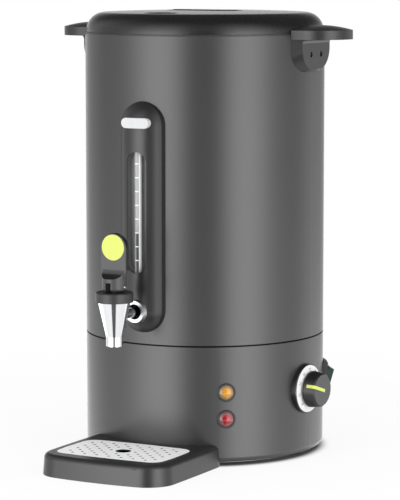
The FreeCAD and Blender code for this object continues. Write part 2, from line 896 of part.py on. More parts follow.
def handle_screw_tools(radius):
    """Round tools where the handle screws pass, on both sides of the urn."""
    height = handle_screw_height
    tools = []
    for side in (-1, 1):
        for hand in (-1, 1):
            y_place = hand * handle_screw_spacing / 2
            tools.append(rod(radius, Vector(side * (casing_inner - flange_width), y_place, height),
                             Vector(side * (handle_face + overrun), y_place, height)))
    return tools


def handle():
    """Moulded handle on the +X side: domed plate with a round end on a U-shaped tab."""
    low = handle_level()
    rim = handle_top
    half = handle_half_width
    block = box(body_radius / 2, handle_reach, -half, half, low, rim + handle_crown)
    plate = block.fuse(Part.makeCylinder(half, handle_rim + handle_crown, Vector(handle_reach, 0, low)))
    cap_radius = (half ** 2 + handle_crown ** 2) / (2 * handle_crown)
    centre = Vector(handle_reach, 0, rim + handle_crown - cap_radius)
    cap = Part.makeSphere(cap_radius, centre)
    cap = cap.fuse(Part.makeCylinder(cap_radius, handle_reach, centre, Vector(-1, 0, 0)))
    plate = plate.common(cap)
    start = body_radius - handle_rim
    low_tab = tab_bottom
    tab = Part.makeLoft([u_wire(start, tab_root_half, low_tab, rim, tab_corner),
                         u_wire(handle_face, tab_half_width, low_tab + tab_foot_rise, rim, tab_corner)],
                        True, True)
    solid = plate.fuse(tab.common(box(start, handle_face, -half, half, low_tab, rim))).removeSplitter()
    inner = [edge for edge in solid.Edges
             if abs(edge.CenterOfMass.x - handle_face) < seat_gap
             and abs(edge.CenterOfMass.z - low) < seat_gap]
    solid = solid.makeFillet(handle_fillet, inner)
    solid = solid.cut(Part.makeCylinder(body_radius + seat_gap, lid_top, origin))
    height = handle_screw_height
    for hand in (-1, 1):
        place = Vector(handle_face + overrun, hand * handle_screw_spacing / 2, height)
        solid = solid.cut(rod(handle_hole_radius, place, place - Vector(handle_hole_depth + overrun, 0, 0)))
        solid = solid.cut(rod(screw_radius + seat_gap, place, place - Vector(handle_face, 0, 0)))
    return solid


def mirrored(shape):
    """The same piece on the -X side."""
    return shape.mirror(origin, axis_x)


def handle_screws():
    """Two screws through each handle's tab into the casing."""
    height = handle_screw_height
    screws = []
    for side in (-1, 1):
        for hand in (-1, 1):
            tip = Vector(side * (handle_face - handle_hole_depth), hand * handle_screw_spacing / 2, height)
            screws.append(screw(tip, Vector(-side, 0, 0)))
    return screws


# Front panel

def panel_form(grow, back):
    """The panel's outer form shrunk by a wall: drafted stadium under a crowned front."""
    low = panel_bottom + grow
    high = panel_top - grow
    root = stadium(panel_root_half - grow, low, high, -back)
    draft = panel_root_half - panel_half_width
    front = stadium(panel_half_width - grow, low + draft, high - draft, -panel_front)
    block = Part.makeLoft([root, front], True, True)
    radius = panel_crown_radius - grow
    centre_y = -(panel_front - panel_crown_radius)
    ends = (low - grow + panel_root_half, high + grow - panel_root_half)
    crown = Part.makeCylinder(radius, ends[1] - ends[0], Vector(0, centre_y, ends[0]))
    for end in ends:
        crown = crown.fuse(Part.makeSphere(radius, Vector(0, centre_y, end)))
    return block.common(crown)


def window_tub(grow, back):
    """The recess round the sight tube, or the same grown by a wall."""
    low = window_bottom - grow
    high = window_top + grow
    face = Part.Face(stadium(window_half_width + grow, low, high, -back))
    return face.extrude(Vector(0, -(panel_front + overrun - back), 0))


def panel():
    """Front panel: a hollow moulding with a recessed window for the sight tube."""
    back = body_radius - panel_wall
    solid = panel_form(0, back)
    hollow = panel_form(panel_wall, back - overrun)
    tub = window_tub(window_wall, window_floor - window_wall).common(solid)
    boss_low = body_radius + 2 * seat_gap
    boss = turned_out([(0, boss_low), (collar_radius + panel_wall, boss_low),
                       (collar_radius + panel_wall, panel_front), (0, panel_front)], inlet_z).common(solid)
    solid = solid.cut(hollow.cut(tub).cut(boss))
    solid = solid.cut(window_tub(0, window_floor))
    solid = solid.cut(rod(shank_radius + seat_gap, Vector(0, -body_radius / 2, inlet_z),
                          Vector(0, -panel_front - overrun, inlet_z)))
    solid = solid.cut(collar_tool())
    tube_low = Vector(0, -tube_place, tube_bottom - seat_gap)
    tube_high = Vector(0, -tube_place, tube_top + seat_gap)
    solid = solid.cut(rod(tube_radius + cuff_wall + 2 * seat_gap, tube_low, tube_high))
    return solid.cut(Part.makeCylinder(body_radius + seat_gap, rim_level, origin))


def collar_tool():
    """A shallow counterbore where the tap's collar seats."""
    return rod(collar_radius + seat_gap, Vector(0, -collar_place, inlet_z),
               Vector(0, -panel_front - overrun, inlet_z))


def badge():
    """Plain pill-shaped plate near the panel's top."""
    half_x = badge_length / 2
    half_z = badge_height / 2
    height = badge_place
    plate = flat_stadium(half_x, half_z, 0, 0, 0, panel_front)
    plate.rotate(origin, axis_x, 90)
    plate.translate(Vector(0, panel_front - badge_front, height))
    radius = panel_crown_radius + seat_gap
    centre_y = -(panel_front - panel_crown_radius)
    top_end = panel_top - panel_root_half
    crown = Part.makeCylinder(radius, panel_top, Vector(0, centre_y, top_end - panel_top))
    crown = crown.fuse(Part.makeSphere(radius, Vector(0, centre_y, top_end)))
    plate = plate.cut(crown)
    front = [piece for piece in plate.Solids if piece.BoundBox.YMin < -panel_front]
    return front[0]


# Sight tube

stub_level_low = tube_bottom - socket_floor
stub_level_high = tube_top + socket_floor


def tube_fitting(level, direction):
    """Fitting through both walls that carries one end of the sight tube."""
    inner = -tank_radius + stub_inside
    body = rod(stub_radius, Vector(0, inner, level), Vector(0, -tube_place, level))
    flange = rod(stub_flange_radius,
                 Vector(0, -tank_radius + stub_flange, level), Vector(0, -tank_radius, level))
    body = body.fuse(flange.common(Part.makeCylinder(tank_radius - seat_gap, rim_level, origin)))
    floor = level - direction * socket_floor * 2
    mouth = level + direction * (socket_floor + socket_depth)
    body = body.fuse(rod(socket_radius, Vector(0, -tube_place, floor), Vector(0, -tube_place, mouth)))
    body = body.cut(rod(tube_radius + cuff_wall, Vector(0, -tube_place, level + direction * socket_floor),
                        Vector(0, -tube_place, mouth + direction * overrun)))
    body = body.cut(rod(stub_bore, Vector(0, inner + overrun, level), Vector(0, -tube_place, level)))
    body = body.cut(rod(stub_bore, Vector(0, -tube_place, level),
                        Vector(0, -tube_place, mouth + direction * overrun)))
    return body.common(panel_form(panel_wall + seat_gap, 0))


def tube_fittings():
    """The two fittings, the upper one turned upside down."""
    return Part.makeCompound([tube_fitting(stub_level_low, 1), tube_fitting(stub_level_high, -1)])


def tube_cuffs():
    """Silicone cuffs that seal the tube's ends in the fittings."""
    cuffs = []
    for direction, level in ((1, tube_bottom), (-1, tube_top)):
        mouth = level + direction * socket_depth
        cuff = rod(tube_radius + cuff_wall, Vector(0, -tube_place, level), Vector(0, -tube_place, mouth))
        cuffs.append(cuff.cut(rod(tube_radius, Vector(0, -tube_place, level - direction * overrun),
                                  Vector(0, -tube_place, mouth + direction * overrun))))
    return Part.makeCompound(cuffs)


def sight_tube():
    """Glass tube that shows the water's level."""
    low = Vector(0, -tube_place, tube_bottom)
    high = Vector(0, -tube_place, tube_top)
    tube = rod(tube_radius, low, high)
    return tube.cut(rod(tube_bore, low - Vector(0, 0, overrun), high + Vector(0, 0, overrun)))


def level_scale():
    """Strip with raised level marks, on the window's floor behind the tube."""
    back = -window_floor
    front = back - scale_thickness
    half = scale_width / 2
    low = window_bottom + window_half_width / 2
    high = window_top - window_half_width / 2
    strip = box(-half, half, front, back, low, high)
    for index in range(tick_count):
        level = tick_first + index * tick_pitch
        strip = strip.fuse(box(-half, -half + tick_length, front - scale_thickness / 2, front,
                               level, level + tick_height))
    return strip.removeSplitter()


# Tap

def tap_body():
    """Chromed tap body: a tapered cone with a chamber, a valve seat and an outlet."""
    knee = spout_tip + spout_straight
    top = bonnet_low
    neck_top = bonnet_top - bonnet_roof - seat_gap
    seat = seat_level
    stem = [(outlet_bore, spout_tip), (spout_tip_radius, spout_tip),
            (spout_tip_radius, knee), (spout_top_radius, top),
            (neck_radius, top), (neck_radius, neck_top), (chamber_top_bore, neck_top),
            (chamber_top_bore, inlet_z + shank_bore), (chamber_bore, inlet_z), (chamber_bore, seat),
            (seat_bore, seat), (seat_bore, seat - outlet_bore), (outlet_bore, seat - 2 * outlet_bore)]
    solid = turned(stem)
    solid.translate(Vector(0, stem_y, 0))
    arm = rod(shank_neck_radius, Vector(0, stem_y, inlet_z), Vector(0, stem_y + spout_top_radius, inlet_z))
    arm = arm.cut(Part.makeCylinder(chamber_top_bore, bonnet_top, Vector(0, stem_y, 0)))
    solid = solid.fuse(arm)
    return solid.cut(rod(shank_bore, Vector(0, stem_y, inlet_z), Vector(0, 0, inlet_z)))


def tap_shank():
    """Pipe from the tap body through the panel and both walls, threaded behind its neck."""
    start = Vector(0, stem_y + spout_top_radius + seat_gap, inlet_z)
    end = Vector(0, -shank_thread_end, inlet_z)
    pipe = rod(shank_neck_radius, start, end)
    pipe = pipe.fuse(rod(shank_radius, Vector(0, -collar_place, inlet_z), end)).removeSplitter()
    return pipe.cut(rod(shank_bore, start - Vector(0, overrun, 0), end + Vector(0, overrun, 0)))


def tap_collar():
    """Chromed conical collar, open in front, where the shank leaves the panel."""
    front = collar_place + collar_length
    return turned_out([(collar_bore, collar_place), (collar_radius, collar_place),
                       (collar_radius, collar_place + collar_edge), (collar_front_radius, front),
                       (collar_bore, front)], inlet_z)


def tank_washers():
    """Silicone washers on both sides of the tank's wall at the tap."""
    washers = []
    for side_y in (-tank_radius + 2 * seat_gap, -tank_outer - washer_height - 2 * seat_gap):
        disc = rod(washer_radius, Vector(0, side_y, inlet_z), Vector(0, side_y + washer_height, inlet_z))
        disc = disc.cut(rod(shank_radius + seat_gap, Vector(0, side_y - overrun, inlet_z),
                            Vector(0, side_y + washer_height + overrun, inlet_z)))
        washers.append(disc)
    inner = Part.makeCylinder(tank_radius - seat_gap, rim_level, origin)
    outer = Part.makeCylinder(tank_outer + seat_gap, rim_level, origin)
    return Part.makeCompound([washers[0].common(inner), washers[1].cut(outer)])


def shank_nuts():
    """Hexagon nuts that clamp the tap: one inside the tank, one between the walls."""
    inside_y = -tank_radius + 3 * seat_gap + washer_height
    nuts = [hexagon(nut_across, nut_height, Vector(0, inside_y, inlet_z), Vector(0, 1, 0))]
    between_y = -tank_outer - washer_height - 3 * seat_gap
    nuts.append(hexagon(nut_across, nut_height, Vector(0, between_y, inlet_z), Vector(0, -1, 0)))
    hole = rod(shank_radius + seat_gap / 2, Vector(0, -body_radius, inlet_z), Vector(0, 0, inlet_z))
    return Part.makeCompound([nut.cut(hole) for nut in nuts])


def bonnet():
    """Black screw cap on the tap body that guides the stem."""
    outer = Part.makeCylinder(bonnet_radius, bonnet_height, Vector(0, stem_y, bonnet_low))
    rim = [edge for edge in outer.Edges if edge.BoundBox.ZMin > bonnet_top - bonnet_round]
    outer = outer.makeFillet(bonnet_round, rim)
    inside = Part.makeCylinder(neck_radius + seat_gap, bonnet_height - bonnet_roof,
                               Vector(0, stem_y, bonnet_low - seat_gap))
    hole = Part.makeCylinder(stem_radius + turn_gap, bonnet_height + overrun, Vector(0, stem_y, bonnet_low))
    return outer.cut(inside).cut(hole)


def valve_stem():
    """Steel stem from the valve cup up to the lever's pin."""
    low = seat_level + cup_height
    top = pin_z + pin_radius + stem_radius / 2
    stem = Part.makeCylinder(stem_radius, top - low, Vector(0, stem_y, low))
    button = Part.makeCylinder(spring_radius + spring_wire, cup_rim, Vector(0, stem_y, low))
    stem = stem.fuse(button)
    half = hub_radius + pin_proud
    return stem.cut(rod(pin_radius + turn_gap / 2, Vector(-half, stem_y, pin_z), Vector(half, stem_y, pin_z)))


def valve_cup():
    """Silicone cup that closes the seat."""
    low = seat_level + seat_gap / 2
    high = seat_level + cup_height
    return Part.makeCylinder(cup_radius, high - low, Vector(0, stem_y, low))


def valve_spring():
    """Coil spring that presses the cup onto its seat."""
    low = seat_level + cup_height + cup_rim + spring_wire / 2 + seat_gap / 2
    high = bonnet_top - bonnet_roof - spring_wire / 2 - seat_gap
    pitch = (high - low) / spring_turns
    path = Part.makeHelix(pitch, high - low, spring_radius)
    section = Part.Wire(Part.makeCircle(spring_wire / 2, Vector(spring_radius, 0, 0), Vector(0, 1, 0)))
    coil = Part.Wire(path.Edges).makePipeShell([section], True, True)
    coil.translate(Vector(0, stem_y, low))
    return coil


def lever_pin():
    """Chromed pin through the lever's hub and the stem."""
    half = hub_radius + pin_proud
    pin = rod(pin_radius, Vector(-half, stem_y, pin_z), Vector(half, stem_y, pin_z))
    return pin.makeFillet(pin_radius / 2, [edge for edge in pin.Edges if edge.Closed])


def lever():
    """Moulded lever: a forked hub on the pin and a flat paddle above it."""
    low = bonnet_top + swing_gap
    top = hub_top
    hub = Part.makeCylinder(hub_radius, top - low, Vector(0, stem_y, low))
    hub = hub.makeFillet(hub_round, [edge for edge in hub.Edges if edge.BoundBox.ZMax < low + hub_round])
    front = stem_y - paddle_front
    back = front + paddle_thickness
    peak = paddle_top
    half = paddle_half_width
    root = paddle_root
    corner_right = Vector(half, front, peak - half)
    corner_left = Vector(-half, front, peak - half)
    foot_right = Vector(hub_radius, front, top)
    foot_left = Vector(-hub_radius, front, top)
    knee_right = Vector(half, front, root)
    knee_left = Vector(-half, front, root)
    blade = Part.Face(Part.Wire([Part.LineSegment(foot_right, knee_right).toShape(),
                                 Part.LineSegment(knee_right, corner_right).toShape(),
                                 Part.Arc(corner_right, Vector(0, front, peak), corner_left).toShape(),
                                 Part.LineSegment(corner_left, knee_left).toShape(),
                                 Part.LineSegment(knee_left, foot_left).toShape(),
                                 Part.LineSegment(foot_left, foot_right).toShape()]))
    blade = blade.extrude(Vector(0, back - front, 0))
    rounded = [edge for edge in blade.Edges
               if edge.BoundBox.YLength < seat_gap and edge.BoundBox.ZMax > root + seat_gap]
    blade = blade.makeFillet(paddle_edge, rounded)
    ramp_points = [Vector(0, front, root), Vector(0, stem_y - hub_radius, top), Vector(0, front, top)]
    sweep = Part.Arc(ramp_points[0], Vector(0, (front + stem_y - hub_radius) / 2 + hub_round / 2,
                                            (root + top) / 2 - hub_round / 4), ramp_points[1]).toShape()
    ramp = Part.Face(Part.Wire([sweep, Part.LineSegment(ramp_points[1], ramp_points[2]).toShape(),
                                Part.LineSegment(ramp_points[2], ramp_points[0]).toShape()]))
    ramp = ramp.extrude(Vector(hub_radius, 0, 0)).fuse(ramp.extrude(Vector(-hub_radius, 0, 0)))
    ramp = ramp.common(Part.makeCylinder(hub_radius, root, Vector(0, stem_y, 0)))
    solid = hub.fuse(blade).fuse(ramp).removeSplitter()
    slot_half = fork_width / 2
    clear = stem_radius + pin_radius
    slot_top = pin_z + pin_radius + stem_radius + swing_gap
    solid = solid.cut(box(-slot_half, slot_half, stem_y - 2 * hub_radius, stem_y + clear,
                          low - overrun, slot_top))
    pin_half = hub_radius + pin_proud
    hole = rod(pin_radius + turn_gap, Vector(-pin_half, stem_y, pin_z), Vector(pin_half, stem_y, pin_z))
    return solid.cut(hole).cut(disc_shape(seat_gap / 2))


def disc_shape(grow):
    """The round inlay in the paddle's face."""
    front = stem_y - paddle_front
    height = disc_place
    return rod(disc_radius + grow, Vector(0, front + disc_depth + grow, height),
               Vector(0, front - disc_proud, height))


def lever_disc():
    """Coloured disc inlaid in the paddle."""
    return disc_shape(0)


# Lamps

def lamp_bezel(height):
    """Dark ring round one lamp."""
    level = base_bottom + height
    start = body_radius - lamp_bezel_height
    end = body_radius + lamp_bezel_height
    piece = turned_out([(lamp_bezel_inner, start), (lamp_bezel_radius, start),
                        (lamp_bezel_radius, end - lamp_bezel_height / 2),
                        (lamp_bezel_radius - lamp_bezel_height / 2, end), (lamp_bezel_inner, end)], level)
    piece = piece.cut(Part.makeCylinder(body_radius + seat_gap, level + 2 * bezel_radius, origin))
    return round_about(piece, lamp_angle)


def lamp_bezels():
    """The two lamp rings."""
    return Part.makeCompound([lamp_bezel(amber_height), lamp_bezel(red_height)])


def lamp_lens(height):
    """Domed lens with a stem behind it."""
    level = base_bottom + height
    radius = lamp_bezel_inner - seat_gap
    base = body_radius + lamp_bezel_height / 2
    crown = lamp_lens_height - lamp_bezel_height / 2
    sphere = (radius ** 2 + crown ** 2) / (2 * crown)
    cap = Part.makeSphere(sphere, Vector(0, -(base + crown - sphere), level))
    drum = rod(radius,
               Vector(0, -body_radius - 2 * seat_gap, level), Vector(0, -base - crown - overrun, level))
    lens = drum.common(cap)
    lens = lens.cut(Part.makeCylinder(body_radius + seat_gap, level + 2 * bezel_radius, origin))
    stem_radius_here = lamp_body_radius - seat_gap
    stem = rod(stem_radius_here, Vector(0, -base, level), Vector(0, -casing_inner + casing_wall, level))
    return round_about(lens.fuse(stem).removeSplitter(), lamp_angle)


def lamp_bodies():
    """Lamp holders behind the casing, each with a ring nut."""
    pieces = []
    for height in (amber_height, red_height):
        level = base_bottom + height
        start = -casing_inner + casing_wall + seat_gap
        barrel = rod(lamp_body_radius, Vector(0, start, level), Vector(0, start + lamp_body_length, level))
        nut = rod(lamp_nut_radius, Vector(0, start, level), Vector(0, start + lamp_nut_height, level))
        pieces.append(round_about(barrel.fuse(nut), lamp_angle))
    return Part.makeCompound(pieces)


# Thermostat and its dial

def dial_z():
    """Height of the dial's centre."""
    return base_bottom + dial_height


def dial_bezel():
    """Black moulded ring that stands the dial off the curved casing."""
    front = body_radius + bezel_height
    start = body_radius - bezel_height
    wall = bezel_radius - dial_outer
    solid = turned_out([(shaft_collar_radius + seat_gap, start), (bezel_radius, start),
                        (bezel_radius, front - wall / 2), (bezel_radius - wall / 2, front),
                        (dial_outer + wall / 4, front), (dial_outer + wall / 4, front - dial_thickness),
                        (shaft_collar_radius + seat_gap, front - dial_thickness)], dial_z())
    solid = solid.cut(Part.makeCylinder(body_radius + seat_gap, dial_z() + 2 * bezel_radius, origin))
    for side in (-1, 1):
        x_place = side * dial_screw_spacing / 2
        solid = solid.cut(rod(screw_radius + seat_gap, Vector(x_place, -front - overrun, dial_z()),
                              Vector(x_place, -start + overrun, dial_z())))
        head = Vector(x_place, -(front - dial_thickness - screw_head_height - seat_gap), dial_z())
        head_end = Vector(x_place, -front - overrun, dial_z())
        solid = solid.cut(rod(screw_head_radius + seat_gap, head, head_end))
    return round_about(solid, dial_angle)


def dial_ring():
    """White dial: a shallow cone of sheet metal."""
    low = body_radius + bezel_height - dial_thickness + seat_gap
    high = low + dial_rise
    return round_about(turned_out([(dial_inner, high), (dial_outer, low), (dial_outer, low + dial_thickness),
                                   (dial_inner, high + dial_thickness)], dial_z()), dial_angle)


def dial_screws():
    """Screws through the bezel and the casing into the thermostat."""
    screws = []
    head = body_radius + bezel_height - dial_thickness - screw_head_height - seat_gap
    for side in (-1, 1):
        piece = screw(Vector(side * dial_screw_spacing / 2, -head, dial_z()), Vector(0, 1, 0))
        screws.append(round_about(piece, dial_angle))
    return screws


def casing_screws():
    """All the screws of the urn's body: bottom plate, handles and dial."""
    return Part.makeCompound(base_screws() + handle_screws() + dial_screws())


def thermostat_back():
    """Distance of the thermostat's back from the urn's axis."""
    half_x = thermostat_width / 2
    front = math.sqrt(casing_inner ** 2 - half_x ** 2) - casing_wall - seat_gap
    return front - thermostat_depth


def thermostat():
    """Thermostat behind the casing, with the collar that guides its shaft."""
    half_x = thermostat_width / 2
    half_z = thermostat_height / 2
    front = -thermostat_back() - thermostat_depth
    body = box(-half_x, half_x, front, front + thermostat_depth, dial_z() - half_z, dial_z() + half_z)
    collar_end = -(body_radius + bezel_height - dial_thickness - seat_gap)
    body = body.fuse(rod(shaft_collar_radius, Vector(0, front, dial_z()), Vector(0, collar_end, dial_z())))
    body = body.cut(rod(shaft_radius + turn_gap, Vector(0, front + thermostat_depth / 2, dial_z()),
                        Vector(0, collar_end - overrun, dial_z())))
    for side in (-1, 1):
        x_place = side * dial_screw_spacing / 2
        body = body.cut(rod(screw_radius, Vector(x_place, front - overrun, dial_z()),
                            Vector(x_place, front + screw_length, dial_z())))
    return round_about(body, dial_angle)


def knob_levels():
    """Distances of the knob's underside and face from the urn's axis."""
    start = body_radius + knob_start
    return start, start + knob_length


def knob():
    """Black knob: a tapered drum with a groove for the pointer and a stalk on the shaft."""
    start, face = knob_levels()
    skirt_gap = dial_rise / 2
    outline = [(0, start + skirt_gap), (knob_skirt_radius - 2 * skirt_gap, start + skirt_gap),
               (knob_skirt_radius - skirt_gap, start), (knob_skirt_radius, start),
               (knob_skirt_radius, start + knob_round), (knob_face_radius + knob_round, face - knob_round),
               (knob_face_radius, face), (0, face)]
    solid = turned_out(outline, dial_z())
    stalk_start = body_radius + bezel_height + swing_gap
    solid = solid.fuse(rod(knob_stalk, Vector(0, -stalk_start, dial_z()), Vector(0, -face, dial_z())))
    shaft_end = face - knob_round - shaft_radius
    solid = solid.cut(rod(shaft_radius + seat_gap / 2, Vector(0, -stalk_start + overrun, dial_z()),
                          Vector(0, -shaft_end, dial_z())))
    solid = solid.cut(pointer_bar(seat_gap / 2))
    return round_about(solid, dial_angle)


def pointer_bar(grow):
    """The bar inlaid from the knob's flank over its face, before turning."""
    start, face = knob_levels()
    half = pointer_width / 2 + grow
    depth = pointer_width / 2 + grow
    inner = face - depth
    flank = start + knob_length / 3 - grow
    reach = knob_skirt_radius + overrun
    outline = [Vector(0, -inner, -pointer_past - grow), Vector(0, -face - overrun, -pointer_past - grow),
               Vector(0, -face - overrun, reach), Vector(0, -flank, reach),
               Vector(0, -flank, knob_face_radius - depth), Vector(0, -inner, knob_face_radius - 2 * depth)]
    bar = Part.Face(Part.makePolygon(outline + outline[:1])).extrude(Vector(2 * half, 0, 0))
    bar.translate(Vector(-half, 0, dial_z()))
    bar.rotate(Vector(0, 0, dial_z()), out, pointer_angle)
    return bar


def knob_pointer():
    """Coloured pointer inlaid in the knob."""
    start, face = knob_levels()
    bar = pointer_bar(0)
    limit = turned_out([(0, start), (knob_skirt_radius + pointer_proud, start + knob_round),
                        (knob_face_radius + knob_round + pointer_proud, face - knob_round),
                        (knob_face_radius, face + pointer_proud), (0, face + pointer_proud)], dial_z())
    return round_about(bar.common(limit), dial_angle)


def knob_shaft():
    """Steel shaft between the thermostat and the knob."""
    face = knob_levels()[1]
    end = face - knob_round - shaft_radius - seat_gap
    start = thermostat_back() + thermostat_depth / 2 + seat_gap
    return round_about(rod(shaft_radius, Vector(0, -start, dial_z()), Vector(0, -end, dial_z())), dial_angle)


# Switch

def switch_z():
    """Height of the switch's centre."""
    return base_bottom + switch_height


def upright_rectangle(width, height, y_place):
    """A closed rectangle in the plane y = y_place, centred on the switch."""
    corners = [Vector(x_side * width / 2, y_place, switch_z() + z_side * height / 2)
               for x_side, z_side in ((1, -1), (1, 1), (-1, 1), (-1, -1))]
    return Part.makePolygon(corners + corners[:1])


def switch_frame():
    """Black bevelled frame of the rocker switch."""
    back = -(body_radius - frame_height)
    front = -(body_radius + frame_height)
    skirt = -body_radius
    block = Part.makeLoft([upright_rectangle(frame_root_width, frame_root_height, back),
                           upright_rectangle(frame_root_width, frame_root_height, skirt),
                           upright_rectangle(frame_front_width, frame_front_height, front)], True, True)
    block = block.cut(Part.makeCylinder(body_radius + seat_gap, switch_z() + frame_root_height, origin))
    half_x = rocker_width / 2 + swing_gap
    half_z = rocker_height / 2 + swing_gap
    hole = box(-half_x, half_x, front - overrun, back, switch_z() - half_z, switch_z() + half_z)
    return round_about(block.cut(hole), switch_angle)


def switch_body():
    """Switch mechanism through the casing, with two ears that carry the rocker's axle."""
    half_x = switch_body_width / 2
    half_z = switch_body_height / 2
    front = -(body_radius - seat_gap)
    block = box(-half_x, half_x, front, front + switch_body_depth, switch_z() - half_z, switch_z() + half_z)
    ear_front = -(body_radius + rocker_axle_place + 1.5 * rocker_axle_radius)
    well_half = half_x - rocker_axle_radius
    block = block.cut(box(-well_half, well_half, front - overrun, front + switch_well_depth,
                          switch_z() - half_z - overrun, switch_z() + half_z + overrun))
    ear_half = 2 * rocker_axle_radius
    ears = box(-half_x, half_x, ear_front, front, switch_z() - ear_half, switch_z() + ear_half)
    ears = ears.cut(box(-well_half, well_half, ear_front - overrun, front + overrun,
                        switch_z() - half_z, switch_z() + half_z))
    block = block.fuse(ears).removeSplitter()
    axle_y = -(body_radius + rocker_axle_place)
    block = block.cut(rod(rocker_axle_radius + turn_gap, Vector(-half_x - overrun, axle_y, switch_z()),
                          Vector(half_x + overrun, axle_y, switch_z())))
    return round_about(block, switch_angle)


def rocker():
    """Rocker: a hollow-backed wedge with an axle moulded in, its upper end standing out."""
    half_z = rocker_height / 2
    axle = body_radius + rocker_axle_place
    rear_z = half_z - rocker_slant
    rise = rear_z * math.tan(math.radians(rocker_throw))
    outline = [Vector(0, -axle, 0), Vector(0, -axle - rise, rear_z),
               Vector(0, -body_radius - rocker_tip, half_z - frame_height),
               Vector(0, -body_radius - rocker_heel, rocker_slant / 2 - half_z), Vector(0, -axle, -rear_z)]
    wedge = Part.Face(Part.makePolygon(outline + outline[:1])).extrude(Vector(rocker_width, 0, 0))
    wedge.translate(Vector(-rocker_width / 2, 0, switch_z()))
    half_x = switch_body_width / 2 + swing_gap / 2
    ear_half = 2 * rocker_axle_radius
    room = math.hypot(ear_half, 1.5 * rocker_axle_radius) + swing_gap
    ear_room = box(-half_x, half_x, -(axle + room), -axle + overrun,
                   switch_z() - 2 * room, switch_z() + 2 * room)
    core_half = switch_body_width / 2 - rocker_axle_radius - swing_gap / 2
    core = box(-core_half, core_half, -(axle + room + swing_gap), -axle + ear_half,
               switch_z() - ear_half, switch_z() + ear_half)
    solid = wedge.cut(ear_room).fuse(core)
    pin = rod(rocker_axle_radius, Vector(-switch_body_width / 2, -axle, switch_z()),
              Vector(switch_body_width / 2, -axle, switch_z()))
    return round_about(solid.fuse(pin).removeSplitter(), switch_angle)


# Drip tray

def tray_form(inset, low, high):
    """The tray's drafted outer form shrunk by a wall."""
    bottom = soft_rectangle(tray_half_width - inset, tray_front - tray_front_bulge - inset, tray_back,
                            tray_side_bulge, tray_front_bulge, tray_back_bulge, tray_corner - inset)
    shrink = inset + tray_draft
    top = soft_rectangle(tray_half_width - shrink, tray_front - tray_front_bulge - shrink, tray_back,
                         tray_side_bulge, tray_front_bulge, tray_back_bulge, tray_corner - shrink)
    return Part.makeLoft([raised(bottom, low), raised(top, high)], True, True)


def grille_outline(inset):
    """The grille's plan: a rectangle with bulged sides."""
    return soft_rectangle(grille_half_width - inset, grille_front - inset, grille_back + inset,
                          grille_bulge, grille_bulge, grille_bulge, grille_corner - inset)


def tray():
    """Drip tray: a hollow-rimmed moulding with a basin, its back following the casing."""
    solid = tray_form(0, 0, tray_height)
    top_edges = [edge for edge in solid.Edges if edge.BoundBox.ZMin > tray_height - seat_gap]
    solid = solid.makeFillet(tray_round, top_edges)
    under = tray_form(tray_wall, -overrun, tray_height - tray_wall)
    basin_low = grille_outline(grille_ledge - tray_wall)
    under = under.cut(prism(basin_low, -2 * overrun, tray_height))
    seat = tray_height - grille_thickness
    solid = solid.cut(under)
    solid = solid.cut(prism(grille_outline(grille_ledge), basin_floor, tray_height + overrun))
    solid = solid.cut(prism(grille_outline(-lift_gap), seat, tray_height + overrun))
    solid = solid.cut(prism(basin_low, -overrun, basin_floor - tray_wall))
    solid = solid.cut(Part.makeCylinder(body_radius + lift_gap, 2 * tray_height, Vector(0, 0, -overrun)))
    back_wall = ring(body_radius + lift_gap + tray_wall, body_radius + lift_gap, 0, tray_height - tray_wall)
    back_wall = back_wall.common(tray_form(tray_wall, 0, tray_height - tray_wall / 2))
    return round_about(solid.fuse(back_wall).removeSplitter(), tray_turn)


def grille_hole_places():
    """Centres of the grille's small holes, in staggered rows."""
    half_x = grille_half_width - grille_edge
    middle = (grille_front + grille_back) / 2
    half_y = (grille_front - grille_back) / 2 - grille_edge
    rows = int(half_y / grille_row)
    columns = int(half_x / grille_pitch) + 1
    places = []
    for row in range(-rows, rows + 1):
        shift = grille_pitch / 2 if row % 2 else 0
        for column in range(-columns, columns + 1):
            x_place = column * grille_pitch + shift
            y_place = -middle + row * grille_row
            corner = math.hypot(max(0, abs(x_place) - half_x + grille_corner), max(0, abs(row * grille_row)
                                - half_y + grille_corner))
            clear_drain = math.hypot(x_place, row * grille_row) > drain_hole + 2 * grille_hole
            if abs(x_place) <= half_x and corner <= grille_corner and clear_drain:
                places.append(Vector(x_place, y_place, 0))
    return places


def grille():
    """Pierced stainless plate that lies in the tray's recess."""
    low = tray_height - grille_thickness
    plate = Part.Face(raised(grille_outline(0), low))
    middle = (grille_front + grille_back) / 2
    holes = [(place, grille_hole) for place in grille_hole_places()]
    holes.append((Vector(0, -middle, 0), drain_hole))
    discs = [Part.Face(Part.Wire(Part.makeCircle(radius, place + Vector(0, 0, low))))
             for place, radius in holes]
    plate = plate.cut(Part.makeCompound(discs)).extrude(Vector(0, 0, grille_thickness))
    return round_about(plate, tray_turn)


# Heating and controls inside the base

def heat_plate():
    """Aluminium plate clamped under the tank, with three studs."""
    top = seam_high - seat_gap
    low = top - heat_plate_thickness
    return Part.makeCylinder(heat_plate_radius, heat_plate_thickness, Vector(0, 0, low))


def plate_under():
    """Underside of the heat plate."""
    return seam_high - seat_gap - heat_plate_thickness


def heating_element():
    """Tubular element bent to a ring under the heat plate, with two downward pins."""
    level = plate_under() - element_tube - seat_gap / 2
    tube = Part.makeTorus(element_radius, element_tube, Vector(0, 0, level), axis_z, -180, 180, element_sweep)
    half_gap = (360 - element_sweep) / 2
    tube.rotate(origin, axis_z, 90 + half_gap)
    for side in (-1, 1):
        turn = math.radians(90 + side * half_gap)
        place = Vector(element_radius * math.cos(turn), element_radius * math.sin(turn), level)
        tube = tube.fuse(Part.makeSphere(element_tube, place))
        tube = tube.fuse(rod(element_pin_radius, place, place - Vector(0, 0, element_pin_length)))
    return tube.removeSplitter()


